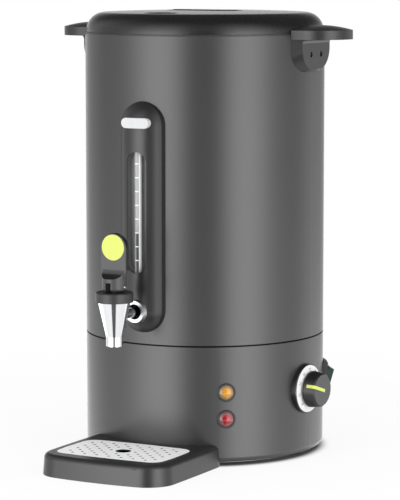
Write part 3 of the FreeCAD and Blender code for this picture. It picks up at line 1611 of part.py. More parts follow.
def stud_places():
    """Where the heat plate's studs stand."""
    places = []
    for index in range(stud_count):
        turn = math.radians(360 * index / stud_count)
        places.append(Vector(stud_circle * math.sin(turn), -stud_circle * math.cos(turn), 0))
    return places


def element_bridge():
    """Star-shaped strap that presses the element against the plate."""
    high = plate_under() - 2 * element_tube - seat_gap
    low = high - strap_wall
    reach = element_radius + element_tube
    solid = Part.makeCylinder(stud_circle / 2, strap_wall, Vector(0, 0, low))
    for index in range(stud_count):
        arm = box(-strap_width / 2, strap_width / 2, -reach, 0, low, high)
        arm.rotate(origin, axis_z, 360 * index / stud_count)
        solid = solid.fuse(arm)
    solid = solid.removeSplitter()
    for place in stud_places():
        solid = solid.cut(Part.makeCylinder(stud_radius + seat_gap, strap_wall + 2 * overrun,
                                            place + Vector(0, 0, low - overrun)))
    return solid


def element_studs():
    """Studs under the heat plate, with their nuts below the strap."""
    top = plate_under() - seat_gap / 2
    strap_low = plate_under() - 2 * element_tube - seat_gap - strap_wall
    pieces = []
    for place in stud_places():
        stud = Part.makeCylinder(stud_radius, top - strap_low + stud_length,
                                 place + Vector(0, 0, strap_low - stud_length))
        nut = hexagon(stud_nut_across, stud_nut_height,
                      place + Vector(0, 0, strap_low - seat_gap / 2 - stud_nut_height), axis_z)
        pieces.append(stud.fuse(nut).removeSplitter())
    return Part.makeCompound(pieces)


def bent_rod(points, radius):
    """A bent wire: round bars from point to point with balls at the turns."""
    wire = rod(radius, points[0], points[1])
    for index in range(1, len(points) - 1):
        wire = wire.fuse(Part.makeSphere(radius, points[index]))
        wire = wire.fuse(rod(radius, points[index], points[index + 1]))
    return wire


def around(distance, angle, height):
    """A point at a distance from the axis, an angle round the urn and a height."""
    turn = math.radians(angle)
    return Vector(distance * math.sin(turn), -distance * math.cos(turn), height)


def sensing_bulb():
    """Thermostat's sensing bulb, held against the heat plate by the strap, with its capillary."""
    level = plate_under() - element_tube - seat_gap / 2
    half = bulb_length / 2
    bulb = rod(element_tube, Vector(-half, bulb_place, level), Vector(half, bulb_place, level))
    below = level - 3 * element_tube
    points = [Vector(half, bulb_place, level), Vector(half + 2 * element_tube, bulb_place, level),
              Vector(half + 4 * element_tube, bulb_place, below),
              around(wire_circle, dial_angle, dial_z() + capillary_rise),
              around(thermostat_back() - seat_gap, dial_angle, dial_z() + capillary_rise)]
    return bulb.fuse(bent_rod(points, capillary_radius)).removeSplitter()


def cutout_housing():
    """Boil-dry cut-out on the bottom plate, with a guide for its reset button."""
    low = base_bottom + seat_gap
    body = Part.makeCylinder(cutout_radius, cutout_height, Vector(cutout_place, 0, low))
    room = 2 * button_travel + screw_head_height
    flange_room = Vector(cutout_place, 0, low - seat_gap)
    stem_room = Vector(cutout_place, 0, low)
    body = body.cut(Part.makeCylinder(button_flange + lift_gap, room, flange_room))
    return body.cut(Part.makeCylinder(button_radius + lift_gap, cutout_height / 2, stem_room))


def reset_button():
    """Red reset button that reaches through the bottom plate."""
    low = base_bottom - plate_wall - button_travel / 2
    flange = base_bottom + lift_gap / 2
    rise = cutout_height / 4 + base_bottom - low
    stem = Part.makeCylinder(button_radius, rise, Vector(cutout_place, 0, low))
    return stem.fuse(Part.makeCylinder(button_flange, screw_head_height, Vector(cutout_place, 0, flange)))


def terminal_block():
    """Terminal block on the bottom plate near the cord's entry."""
    low = base_bottom + seat_gap
    half = block_length / 2
    y_low = block_place
    body = box(-half, half, y_low, y_low + block_width, low, low + block_height)
    ways = 3
    for index in range(ways):
        x_place = (index - 1) * block_length / ways
        body = body.cut(Part.makeCylinder(block_width / 6, block_height / 2,
                                          Vector(x_place, y_low + block_width / 2, low + block_height / 2)))
    return body


def well_place(index):
    """Bottom of one of the terminal block's wells."""
    x_place = (index - 1) * block_length / 3
    return Vector(x_place, block_place + block_width / 2, base_bottom + seat_gap + block_height / 2)


def pin_end(side):
    """Just below the end of one of the element's pins."""
    turn = side * (360 - element_sweep) / 2
    level = plate_under() - element_tube - seat_gap / 2 - element_pin_length - seat_gap
    return around(element_radius, 180 - turn, level)


def inner_wires():
    """Insulated leads between terminal block, switch, thermostat, cut-out and element."""
    up = Vector(0, 0, wire_rise)
    lift = Vector(0, 0, seat_gap)
    switch_back = body_radius - switch_body_depth - 2 * seat_gap
    near_switch = wire_circle / math.cos(math.radians(wire_spread_angle))
    high = switch_z() + wire_spacing
    low = switch_z() - wire_spacing
    cap = base_bottom + 2 * seat_gap + cutout_height
    live = cutout_place - wire_spacing / 2
    middle_angle = (switch_angle + dial_angle) / 2
    routes = [[well_place(0) + lift, well_place(0) + up, pin_end(-1) - up, pin_end(-1)],
              [well_place(2) + lift, well_place(2) + up, around(wire_circle, switch_angle, low),
               around(switch_back, switch_angle, low)],
              [around(switch_back, switch_angle, high), around(wire_circle, switch_angle, high),
               around(near_switch, middle_angle, high), around(wire_circle, dial_angle, dial_z()),
               around(thermostat_back() - seat_gap, dial_angle, dial_z())],
              [around(thermostat_back() - seat_gap, dial_angle, dial_z() - capillary_rise),
               around(wire_circle, dial_angle, dial_z() - capillary_rise),
               Vector(live, 0, cap) + up, Vector(live, 0, cap)],
              [Vector(cutout_place, wire_spacing, cap), Vector(cutout_place, wire_spacing, cap) + up,
               pin_end(1) - up, pin_end(1)]]
    return Part.makeCompound([bent_rod(route, wire_radius) for route in routes])


def gland_z():
    """Height of the cord's entry."""
    return base_bottom + gland_height


def cable_gland():
    """Black cable gland through the back of the lower casing; its bore stays empty."""
    height = gland_z()
    start = body_radius - casing_wall - gland_inside
    front = body_radius + gland_flange_height
    nose = front + gland_nose
    solid = turned_out([(gland_bore, start), (gland_radius, start), (gland_radius, body_radius - casing_wall),
                        (gland_radius, body_radius - gland_flange_height / 3),
                        (gland_flange, body_radius - gland_flange_height / 3), (gland_flange, front),
                        (gland_radius, front), (gland_radius - gland_flange_height, nose),
                        (gland_bore, nose)],
                       height)
    flange = Part.makeCylinder(body_radius + seat_gap, height + 2 * gland_flange, origin)
    flange = flange.cut(rod(gland_radius, Vector(0, 0, height), Vector(0, -nose, height)))
    solid = solid.cut(flange)
    return round_about(solid, 180)


def gland_nut():
    """Hexagon nut on the gland, inside the casing."""
    sagitta = casing_inner - math.sqrt(casing_inner ** 2 - (gland_nut_across / math.sqrt(3)) ** 2)
    start = casing_inner - sagitta - seat_gap
    nut = hexagon(gland_nut_across, gland_nut_height, Vector(0, start - gland_nut_height, gland_z()),
                  Vector(0, 1, 0))
    along = Vector(0, 0, gland_z()), Vector(0, body_radius, gland_z())
    return nut.cut(rod(gland_radius + seat_gap / 2, *along))


NODES = {
    "base_casing": base_casing,
    "outer_casing": upper_casing,
    "seam_ring": seam_ring,
    "inner_tank": tank,
    "mouth_rim": mouth_rim,
    "base_plate": base_plate,
    "rubber_feet": feet,
    "lid": lid_shell,
    "lid_grip": grip,
    "lid_steam_vent": steam_vent,
    "lid_liner": liner,
    "lid_seal": lid_seal,
    "lid_screws": lid_fasteners,
    "handle_right": handle,
    "handle_left": lambda: mirrored(handle()),
    "front_panel": panel,
    "badge_plate": badge,
    "sight_tube": sight_tube,
    "tube_fittings": tube_fittings,
    "tube_cuffs": tube_cuffs,
    "level_scale": level_scale,
    "tap_body": tap_body,
    "tap_shank": tap_shank,
    "tap_collar": tap_collar,
    "tap_washers": tank_washers,
    "tap_nuts": shank_nuts,
    "tap_bonnet": bonnet,
    "valve_stem": valve_stem,
    "valve_cup": valve_cup,
    "valve_spring": valve_spring,
    "lever_pin": lever_pin,
    "tap_lever": lever,
    "lever_disc": lever_disc,
    "lamp_bezels": lamp_bezels,
    "lamp_lens_amber": lambda: lamp_lens(amber_height),
    "lamp_lens_red": lambda: lamp_lens(red_height),
    "lamp_holders": lamp_bodies,
    "dial_bezel": dial_bezel,
    "dial_ring": dial_ring,
    "casing_screws": casing_screws,
    "thermostat": thermostat,
    "thermostat_shaft": knob_shaft,
    "dial_knob": knob,
    "knob_pointer": knob_pointer,
    "switch_frame": switch_frame,
    "switch_body": switch_body,
    "switch_rocker": rocker,
    "drip_tray": tray,
    "drip_grille": grille,
    "heat_plate": heat_plate,
    "heating_element": heating_element,
    "element_strap": element_bridge,
    "element_studs": element_studs,
    "sensing_bulb": sensing_bulb,
    "cutout_housing": cutout_housing,
    "reset_button": reset_button,
    "terminal_block": terminal_block,
    "inner_wires": inner_wires,
    "cable_gland": cable_gland,
    "gland_nut": gland_nut,
}

os.makedirs("parts", exist_ok=True)
for node, make in NODES.items():
    make().exportStep("parts/" + node + ".step")
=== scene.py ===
import math

import bmesh
import bpy
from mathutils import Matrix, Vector


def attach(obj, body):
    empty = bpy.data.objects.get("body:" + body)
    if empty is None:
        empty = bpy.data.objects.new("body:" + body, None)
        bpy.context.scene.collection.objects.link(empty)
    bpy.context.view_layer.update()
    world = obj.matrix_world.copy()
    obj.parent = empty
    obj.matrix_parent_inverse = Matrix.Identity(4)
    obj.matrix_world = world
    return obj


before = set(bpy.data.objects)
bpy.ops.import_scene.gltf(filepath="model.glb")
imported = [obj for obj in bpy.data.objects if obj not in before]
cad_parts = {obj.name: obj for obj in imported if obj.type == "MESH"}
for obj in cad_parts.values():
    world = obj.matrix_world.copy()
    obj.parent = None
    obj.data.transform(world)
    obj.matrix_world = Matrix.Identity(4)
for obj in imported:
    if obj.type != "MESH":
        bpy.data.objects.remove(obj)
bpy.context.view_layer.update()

# Base casing and outer casing
# Two rolled steel cylinders, one on the other, painted inside and out with one dark grey powder. The base
# section holds the controls, and the outer one hides the tank.
MM = 0.001
# The specular level that a shader starts with
FULL_GLOSS = 0.5


def linear(code):
    """An sRGB hex colour as the linear values that shaders take."""
    parts = [int(code[place:place + 2], 16) / 255 for place in (1, 3, 5)]
    return [p / 12.92 if p <= 0.04045 else ((p + 0.055) / 1.055) ** 2.4 for p in parts] + [1.0]


def add_node(tree, kind, sockets=None, **settings):
    """Adds a node with its settings. Each socket gets a value, or a link where an output is given."""
    node = tree.nodes.new("ShaderNode" + kind)
    for name, value in settings.items():
        setattr(node, name, value)
    for name, value in (sockets or {}).items():
        if isinstance(value, bpy.types.NodeSocket):
            tree.links.new(value, node.inputs[name])
        else:
            node.inputs[name].default_value = value
    return node


def calc(tree, operation, *values):
    """The result of one sum on values and outputs."""
    return add_node(tree, "Math", dict(enumerate(values)), operation=operation).outputs[0]


def ramp(tree, value, start, end, low=0.0, high=1.0, curve="LINEAR"):
    """Takes a value from start to end to one from low to high, and holds it beyond them."""
    ends = {"Value": value, "From Min": start, "From Max": end, "To Min": low, "To Max": high}
    return add_node(tree, "MapRange", ends, interpolation_type=curve).outputs[0]


def place_on(tree):
    """The X, Y and Z of a point of the object, in the part's own frame."""
    return add_node(tree, "SeparateXYZ", {0: tree.nodes["Texture Coordinate"].outputs["Object"]}).outputs


def feed(tree, socket, output):
    """Links an output to a socket of the material's shader."""
    tree.links.new(output, tree.nodes["Principled BSDF"].inputs[socket])


def recolour(tree, share, code):
    """Where share is one, the material's colour gives way to another."""
    base = tree.nodes["Principled BSDF"].inputs["Base Color"]
    tone = base.links[0].from_socket if base.is_linked else base.default_value
    tone = add_node(tree, "Mix", {0: share, 6: tone, 7: linear(code)}, data_type="RGBA")
    feed(tree, "Base Color", tone.outputs[2])


def surface(name, dark, light, patch, rough, grain, depth, stretch=(1, 1, 1), **values):
    """A material whose colour drifts between two close tones over patches in mm, unless both are the same,
    whose roughness moves between two values, and whose relief is a grain of that many mm and that depth.
    stretch draws the grain out along an axis. Other values go on the shader's own sockets."""
    drift_detail, grain_detail, grain_low, grain_high = 4.0, 3.0, 0.3, 0.7
    material = bpy.data.materials.new(name)
    material.use_nodes = True
    tree = material.node_tree
    place = add_node(tree, "TexCoord").outputs["Object"]
    tree.nodes["Principled BSDF"].inputs["Base Color"].default_value = linear(dark)
    if light != dark:
        drift = add_node(tree, "TexNoise", {"Vector": place, "Scale": 1 / (patch * MM),
                                            "Detail": drift_detail})
        recolour(tree, drift.outputs["Fac"], light)
    drawn = add_node(tree, "Mapping", {"Vector": place, "Scale": stretch})
    fine = add_node(tree, "TexNoise", {"Vector": drawn.outputs[0], "Scale": 1 / (grain * MM),
                                       "Detail": grain_detail}).outputs["Fac"]
    feed(tree, "Roughness", ramp(tree, fine, grain_low, grain_high, *rough))
    relief = add_node(tree, "Bump", {"Height": fine, "Strength": 1.0, "Distance": depth * MM})
    feed(tree, "Normal", relief.outputs[0])
    for socket, value in values.items():
        tree.nodes["Principled BSDF"].inputs[socket.replace("_", " ")].default_value = value
    return material


def dress(material, *names):
    """Gives CAD nodes that material in every slot."""
    for name in names:
        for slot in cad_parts[name].material_slots:
            slot.material = material


# Baked powder coat: satin, with the faint orange peel that the melted powder leaves
powder_coat = surface("powder_coat", "#2e2e2f", "#333334", patch=60, rough=(0.28, 0.35), grain=1.3,
                      depth=0.005, IOR=1.62)
# Where the casings' edges turn in at the groove between them, the colour goes near black as painted shade in
# the groove
tree = powder_coat.node_tree
groove_level, edge_width = 135.7 * MM, 1.3 * MM
height = place_on(tree)["Z"]
off_groove = calc(tree, "ABSOLUTE", calc(tree, "SUBTRACT", height, groove_level))
recolour(tree, calc(tree, "LESS_THAN", off_groove, edge_width), "#0a0a0a")
# The turned-in edge at the bottom stands in the base's own shade and takes no gloss
shaded_below, glossy_above = 5.2 * MM, 6.2 * MM
feed(tree, "Specular IOR Level", ramp(tree, height, shaded_below, glossy_above, 0.0, FULL_GLOSS))
dress(powder_coat, "base_casing", "outer_casing")

# Bottom plate, feet and casing screws
# The pressed stainless plate closes the base. Four rubber feet push into it, and the screws that hold the
# plate, the handles, the dial and the switch are zinc-plated.

# Stainless sheet as rolled: bright, with fine lines along the rolling
stainless_sheet = surface("rolled_stainless_sheet", "#b9bbbd", "#c6c8c9", patch=30, rough=(0.22, 0.34),
                          grain=0.9, depth=0.004, stretch=(1, 12, 1), Metallic=1.0)
# The same sheet for the plate, whose rim is painted dark as painted shade under the casing
plate_sheet = stainless_sheet.copy()
plate_sheet.name = "stainless_sheet_shaded_rim"
tree = plate_sheet.node_tree
rim_from = 112 * MM
off_axis = add_node(tree, "VectorMath", {0: tree.nodes["Texture Coordinate"].outputs["Object"],
                                         1: (1, 1, 0)}, operation="MULTIPLY")
off_axis = add_node(tree, "VectorMath", {0: off_axis.outputs[0]}, operation="LENGTH").outputs["Value"]
recolour(tree, calc(tree, "GREATER_THAN", off_axis, rim_from), "#6c6c6d")
# Moulded rubber: matt and a little dusty
foot_rubber = surface("moulded_rubber", "#1b1b1c", "#232324", patch=6, rough=(0.7, 0.85), grain=0.6,
                      depth=0.02, IOR=1.52)
# Zinc plating: pale grey, slightly clouded, and darkened with painted shade on the heads under the plate
zinc_plate = surface("zinc_plate", "#9ea1a4", "#b4b6b8", patch=3, rough=(0.28, 0.42), grain=0.5,
                     depth=0.004, Metallic=1.0)
tree = zinc_plate.node_tree
plate_level = 4.5 * MM
recolour(tree, calc(tree, "LESS_THAN", place_on(tree)["Z"], plate_level), "#3c3c3d")
dress(plate_sheet, "base_plate")
dress(foot_rubber, "rubber_feet")
dress(zinc_plate, "casing_screws")

# Ring between the casings and rim at the mouth
# Two moulded rings of dark heat-proof nylon. The lower one shows as the groove between the casings, and
# the upper one joins the casing to the tank.

# Moulded nylon: satin, with the fine spark texture of its mould
moulded_nylon = surface("moulded_nylon", "#252526", "#2b2b2c", patch=12, rough=(0.36, 0.48), grain=0.8,
                        depth=0.012, IOR=1.53)
# The same nylon, matt, its colour darkened to near black as painted shade in the groove and in the steam
# vent
matt_shaded_nylon = surface("matt_shaded_moulded_nylon", "#080808", "#0c0c0c", patch=12, rough=(0.75, 0.85), grain=0.8,
                     depth=0.02, IOR=1.4, Specular_IOR_Level=0.1)
dress(moulded_nylon, "mouth_rim")
dress(matt_shaded_nylon, "seam_ring")

# Tank
# One drawn and welded stainless shell, brushed round inside.

# Brushed stainless: fine rings round the wall, soft and pale
brushed_stainless = surface("brushed_stainless", "#cfd1d3", "#dcdee0", patch=40, rough=(0.34, 0.5),
                            grain=0.8, depth=0.005, stretch=(0.15, 0.15, 3), Metallic=0.6)
dress(brushed_stainless, "inner_tank")

# Heating
# A cast aluminium plate is studded to the tank's floor. The tubular element and the thermostat's bulb lie
# under it, held by a stainless strap.

# Cast aluminium: pale and dull
cast_aluminium = surface("cast_aluminium", "#a4a6a7", "#b2b4b5", patch=8, rough=(0.45, 0.6), grain=1.2,
                         depth=0.03, Metallic=1.0)
# Drawn steel tube: grey with a warm tint where it has been hot
drawn_steel = surface("drawn_steel", "#8b8883", "#9c9a97", patch=10, rough=(0.3, 0.42), grain=0.7,
                      depth=0.004, Metallic=1.0)
dress(cast_aluminium, "heat_plate")
dress(drawn_steel, "heating_element", "sensing_bulb")
dress(stainless_sheet, "element_strap")
dress(zinc_plate, "element_studs")

# Controls and wiring inside the base
# Boil-dry cut-out with its reset button, thermostat, terminal block, leads in silicone sleeving, and the
# gland for the lead with its nut.

# Phenolic moulding: dark brown, semi-matt
phenolic = surface("phenolic_moulding", "#2c2320", "#362b27", patch=6, rough=(0.4, 0.52), grain=0.6,
                   depth=0.01, IOR=1.6)
# Moulded melamine: near white, with a soft gloss
white_moulding = surface("white_moulding", "#d9d9d6", "#e6e6e3", patch=8, rough=(0.3, 0.38), grain=0.6,
                         depth=0.006, IOR=1.5)
# Red moulded push button: bright, with a soft gloss
red_button = surface("red_moulding", "#a5201c", "#b62a24", patch=3, rough=(0.28, 0.36), grain=0.4,
                     depth=0.005, IOR=1.5)
# Silicone sleeving: soft sheen, slightly uneven along the lead
wire_sleeve = surface("wire_sleeve", "#8e8b84", "#a3a099", patch=5, rough=(0.5, 0.62), grain=0.5,
                      depth=0.02, IOR=1.43)
dress(phenolic, "cutout_housing", "thermostat", "lamp_holders")
dress(white_moulding, "terminal_block", "switch_body")
dress(red_button, "reset_button")
dress(wire_sleeve, "inner_wires")
dress(moulded_nylon, "cable_gland", "gland_nut")

# Front panel, plate, sight tube and level scale
# A black moulding clipped over the tube and its two fittings. The bare plate near its top is anodised
# foil. The tube is glass, sealed by silicone cuffs, with a scale strip behind it.


def facing(tree, kind="True Normal"):
    """The X, Y and Z of the way that a surface faces."""
    return add_node(tree, "SeparateXYZ", {0: add_node(tree, "NewGeometry").outputs[kind]}).outputs


# Moulded ABS: black satin, smoother than the casing
black_abs = surface("moulded_abs", "#212122", "#262627", patch=20, rough=(0.28, 0.36), grain=0.9,
                    depth=0.004, IOR=1.55)
# The tub behind the tube is painted a paler grey deeper in, as painted light against the recess's shade
tree = black_abs.node_tree
window_half_width, window_half_height, window_middle = 12.9 * MM, 67.6 * MM, 285.4 * MM
tub_black_at, tub_grey_at = -152.6 * MM, -145.6 * MM
place = place_on(tree)
across = calc(tree, "LESS_THAN", calc(tree, "ABSOLUTE", place["X"]), window_half_width)
off_middle = calc(tree, "ABSOLUTE", calc(tree, "SUBTRACT", place["Z"], window_middle))
along = calc(tree, "LESS_THAN", off_middle, window_half_height)
deep = ramp(tree, place["Y"], tub_black_at, tub_grey_at)
recolour(tree, calc(tree, "MULTIPLY", deep, calc(tree, "MULTIPLY", across, along)), "#8a8a8b")
# The panel's flanks keep the matt grain of the mould, and only its front has a gloss
flank_begins, flank_whole, flank_gloss = 0.55, 0.85, 0.2
aside = calc(tree, "ABSOLUTE", facing(tree, "Normal")["X"])
feed(tree, "Specular IOR Level",
     ramp(tree, aside, flank_begins, flank_whole, FULL_GLOSS, flank_gloss, "SMOOTHSTEP"))
# Anodised foil: silvery, finely brushed along its length
anodised_foil = surface("anodised_foil", "#cdcecf", "#d6d7d8", patch=8, rough=(0.38, 0.48), grain=0.5,
                        depth=0.003, stretch=(0.2, 1, 3), Metallic=0.05)
# Silicone rubber: milky, soft sheen
silicone = surface("silicone_rubber", "#b9b9b4", "#c9c9c4", patch=4, rough=(0.45, 0.55), grain=0.5,
                   depth=0.006, IOR=1.43, Subsurface_Weight=0.2, Subsurface_Radius=(0.002, 0.002, 0.002))
# Printed strip: grey satin film, its raised marks white
scale_strip = surface("printed_strip", "#8d8d8d", "#9b9b9b", patch=6, rough=(0.3, 0.4), grain=0.5,
                      depth=0.004, IOR=1.5)
tree = scale_strip.node_tree
mark_front = -143.35 * MM
recolour(tree, calc(tree, "LESS_THAN", place_on(tree)["Y"], mark_front), "#f4f4f2")
# Borosilicate tube, drawn: faintly milky and wavy, with a painted highlight as a white band down its right
# side and short white marks on its front. Below the water's level it looks darker.
tube_tint, tube_rough = "#c8c9c9", 0.06
tube_glass = surface("borosilicate_tube", tube_tint, tube_tint, patch=20, rough=(tube_rough, 0.08), grain=6,
                     depth=0.01, stretch=(1, 1, 0.1), IOR=1.47, Transmission_Weight=1.0)
# A lamp's light passes straight through it
tree = tube_glass.node_tree
through = add_node(tree, "BsdfTransparent", {"Color": linear(tube_tint)})
shadow = add_node(tree, "LightPath").outputs["Is Shadow Ray"]
both = add_node(tree, "MixShader", {0: shadow, 1: tree.nodes["Principled BSDF"].outputs[0],
                                    2: through.outputs[0]})
tree.links.new(both.outputs[0], tree.nodes["Material Output"].inputs["Surface"])
tube_axis, water_level = -148 * MM, 263 * MM
lowest_mark, mark_pitch, mark_height = 169.8 * MM, 15.4 * MM, 1.4 * MM
# Degrees round the tube from its front, to the right
mark_span, highlight_span, water_span = (-30, 34), (38, 88), (-10, 36)
milky_share = 0.35
place = place_on(tree)
angle = calc(tree, "ARCTAN2", place["X"], calc(tree, "SUBTRACT", tube_axis, place["Y"]))
turned = ramp(tree, angle, -math.pi, math.pi)


def span(low, high):
    """One between two angles round the tube, and nothing elsewhere. The front lies half a turn on."""
    front = 0.5
    after = calc(tree, "GREATER_THAN", turned, low / 360 + front)
    before = calc(tree, "LESS_THAN", turned, high / 360 + front)
    return calc(tree, "MULTIPLY", after, before)


rows = calc(tree, "MODULO", calc(tree, "SUBTRACT", place["Z"], lowest_mark), mark_pitch)
marks = calc(tree, "MULTIPLY", calc(tree, "LESS_THAN", rows, mark_height), span(*mark_span))
# The band down the right side is a painted highlight; the short marks are print
white = calc(tree, "MAXIMUM", marks, span(*highlight_span))
wet = calc(tree, "MULTIPLY", calc(tree, "LESS_THAN", place["Z"], water_level), span(*water_span))
recolour(tree, wet, "#6e6f70")
recolour(tree, white, "#f4f4f3")
feed(tree, "Transmission Weight", ramp(tree, white, 0.0, 1.0, milky_share, 0.0))
dress(black_abs, "front_panel")
dress(anodised_foil, "badge_plate")
dress(silicone, "tube_cuffs")
dress(moulded_nylon, "tube_fittings")
dress(scale_strip, "level_scale")
dress(tube_glass, "sight_tube")

# Tap
# A turned and chromed brass body on a shank through both walls, clamped by two brass nuts. Inside it a
# steel stem lifts a silicone cup off the seat against a spring.

# Chrome plate: nearly white, mirror bright, with the faintest ripple of the polish under it
chrome_plate = surface("chrome_plate", "#e4e6e8", "#edeef0", patch=10, rough=(0.05, 0.09), grain=4,
                       depth=0.004, Metallic=1.0)
# Chromed turning, with the tool's fine rings left in it: softer reflections
turned_chrome = surface("turned_chrome", "#d9dbdd", "#e2e4e6", patch=3, rough=(0.28, 0.38), grain=0.5,
                        depth=0.006, Metallic=1.0)
# Turned brass: yellow and a little tarnished
turned_brass = surface("turned_brass", "#a98746", "#bb9a58", patch=6, rough=(0.28, 0.4), grain=0.4,
                       depth=0.004, stretch=(1, 8, 1), Metallic=1.0)
# Ground stainless rod: bright, with fine lines along it
ground_steel = surface("ground_steel", "#b5b7b9", "#c4c6c8", patch=4, rough=(0.18, 0.28), grain=0.4,
                       depth=0.002, stretch=(1, 1, 6), Metallic=1.0)
# The shank's steel: bright, and painted near black where it enters the collar, as painted shade in the
# collar's recess
shank_steel = surface("steel_with_painted_shade", "#b5b7b9", "#c4c6c8", patch=4, rough=(0.18, 0.28), grain=0.4,
                      depth=0.002, Metallic=1.0)
tree = shank_steel.node_tree
bright_at, black_at = -165.9 * MM, -163.9 * MM
recolour(tree, ramp(tree, place_on(tree)["Y"], bright_at, black_at), "#151515")
dress(chrome_plate, "tap_body")
dress(turned_chrome, "tap_collar")
dress(turned_brass, "tap_nuts")
dress(shank_steel, "tap_shank")
dress(ground_steel, "valve_stem", "valve_spring", "thermostat_shaft", "lever_pin")
dress(silicone, "valve_cup", "tap_washers")

# Tap cap and lever
# The screwed cap and the lever are moulded nylon in the casing's grey. The lever's round face carries a
# lime disc, left bare.

# Lime inlay: opaque paint-filled plastic, satin
lime_inlay = surface("lime_moulding", "#d4de66", "#dde775", patch=6, rough=(0.32, 0.42), grain=0.5,
                     depth=0.006, IOR=1.5)
# The lever's nylon: grey and satin, with painted shade making it near black round the paddle's edge and on
# the ledge under it
grey_nylon = surface("grey_moulded_nylon", "#3c3c3e", "#414143", patch=12, rough=(0.36, 0.46), grain=0.8,
                     depth=0.006, IOR=1.55)
tree = grey_nylon.node_tree
paddle_root, ledge_top = 226.5 * MM, 222.5 * MM
front_facing, ledge_slope = -0.7, 0.12
normal, height = facing(tree), place_on(tree)["Z"]
edge = calc(tree, "MULTIPLY", calc(tree, "GREATER_THAN", normal["Y"], front_facing),
            calc(tree, "GREATER_THAN", height, paddle_root))
ledge = calc(tree, "MULTIPLY", calc(tree, "GREATER_THAN", normal["Z"], ledge_slope),
             calc(tree, "LESS_THAN", height, ledge_top))
recolour(tree, calc(tree, "MAXIMUM", edge, ledge), "#0d0d0d")
dress(moulded_nylon, "tap_bonnet")
dress(grey_nylon, "tap_lever")
dress(lime_inlay, "lever_disc", "knob_pointer")

# Lamps
# Two lenses of tinted polycarbonate, each in a dark ring, with its neon behind it unlit.
lamp_turn, lens_front = math.radians(40), 141 * MM
amber_height, red_height = 83.8 * MM, 53.5 * MM
deep_within, pale_from = 4.4 * MM, 6.4 * MM


def tinted_lens(name, height, middle, edge):
    """Tinted polycarbonate: glossy, deeper in the middle and paler at the rim where light leaks round."""
    material = surface(name, middle, middle, patch=4, rough=(0.08, 0.14), grain=1.5, depth=0.02, IOR=1.58,
                       Coat_Weight=0.15, Coat_Roughness=0.05)
    tree = material.node_tree
    centre = (math.sin(lamp_turn) * lens_front, -math.cos(lamp_turn) * lens_front, height)
    off = add_node(tree, "VectorMath", {0: tree.nodes["Texture Coordinate"].outputs["Object"], 1: centre},
                   operation="DISTANCE").outputs["Value"]
    recolour(tree, ramp(tree, off, deep_within, pale_from), edge)
    return material


dress(tinted_lens("amber_polycarbonate", amber_height, "#d2911b", "#8f7a58"), "lamp_lens_amber")
dress(tinted_lens("red_polycarbonate", red_height, "#a3101b", "#85585a"), "lamp_lens_red")
dress(moulded_nylon, "lamp_bezels")

# Dial
# A gloss black bezel screwed to the casing, a white ring printed with plain numbers, and a satin knob
# whose pointer is a lime bar.

# Gloss ABS: black, with clear reflections
gloss_abs = surface("gloss_abs", "#1d1d1e", "#232324", patch=15, rough=(0.13, 0.2), grain=1.0,
                    depth=0.003, IOR=1.62)
# Lacquered aluminium: even white with a soft gloss
lacquered_aluminium = surface("lacquered_aluminium", "#f1f1f0", "#f7f7f6", patch=15, rough=(0.3, 0.38),
                              grain=0.6, depth=0.003, IOR=1.5)
# Satin nylon in the casing's grey on its face, its flank darkened to near black as painted shade
satin_knob = surface("satin_nylon", "#303132", "#373839", patch=8, rough=(0.3, 0.4), grain=0.6,
                     depth=0.006, IOR=1.53)
tree = satin_knob.node_tree
knob_axis, face_within = (0.998, -0.061, 0), 0.8
ahead = add_node(tree, "VectorMath", {0: add_node(tree, "NewGeometry").outputs["True Normal"], 1: knob_axis},
                 operation="DOT_PRODUCT").outputs["Value"]
recolour(tree, calc(tree, "LESS_THAN", ahead, face_within), "#1a1a1b")
# Printing ink: pale grey, satin
printing_ink = surface("printing_ink", "#a6a8aa", "#b2b4b6", patch=2, rough=(0.4, 0.5), grain=0.3,
                       depth=0.002)
dress(gloss_abs, "dial_bezel")
dress(lacquered_aluminium, "dial_ring")
dress(satin_knob, "dial_knob")

# The numbers stand upright to the ring's centre, on its sloping face
dial_turn, dial_height = math.radians(86.5), 78.3 * MM
ring_radius, ring_front, ring_rise, ring_width = 26.9 * MM, 142.36 * MM, 3.4 * MM, 14.9 * MM
number_radius, number_size, print_height = 22.2 * MM, 4.6 * MM, 0.05 * MM
first_number, number_step, number_count = 30, 10, 9
first_turn, turn_step = -135, 33.75
outward = Vector((math.sin(dial_turn), -math.cos(dial_turn), 0))
rightward = Vector((math.cos(dial_turn), math.sin(dial_turn), 0))
upward = Vector((0, 0, 1))
ring_slope = ring_rise / ring_width
tilt = math.atan(ring_slope)
numbers = bmesh.new()
for place_in_row in range(number_count):
    clockwise = math.radians(first_turn + place_in_row * turn_step)
    radial = rightward * math.sin(clockwise) + upward * math.cos(clockwise)
    type_curve = bpy.data.curves.new("number", "FONT")
    type_curve.body = str(first_number + number_step * place_in_row)
    type_curve.size = number_size
    type_curve.align_x = type_curve.align_y = "CENTER"
    type_curve.extrude = print_height
    number = bpy.data.objects.new("number", type_curve)
    shape = bpy.data.meshes.new_from_object(number)
    normal = outward * math.cos(tilt) + radial * math.sin(tilt)
    top = radial * math.cos(tilt) - outward * math.sin(tilt)
    side = top.cross(normal)
    origin = (upward * dial_height + radial * number_radius
              + outward * (ring_front + (ring_radius - number_radius) * ring_slope) + normal * print_height)
    for point in shape.vertices:
        point.co = origin + side * point.co.x + top * point.co.y + normal * point.co.z
    numbers.from_mesh(shape)
    bpy.data.objects.remove(number)
number_mesh = bpy.data.meshes.new("dial_numbers")
numbers.to_mesh(number_mesh)
numbers.free()
dial_numbers = bpy.data.objects.new("dial_numbers", number_mesh)
bpy.context.scene.collection.objects.link(dial_numbers)
dial_numbers.data.materials.append(printing_ink)
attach(dial_numbers, "urn")

# Rocker switch
# A moulded frame snapped into the casing, and a rocker that tilts in it.

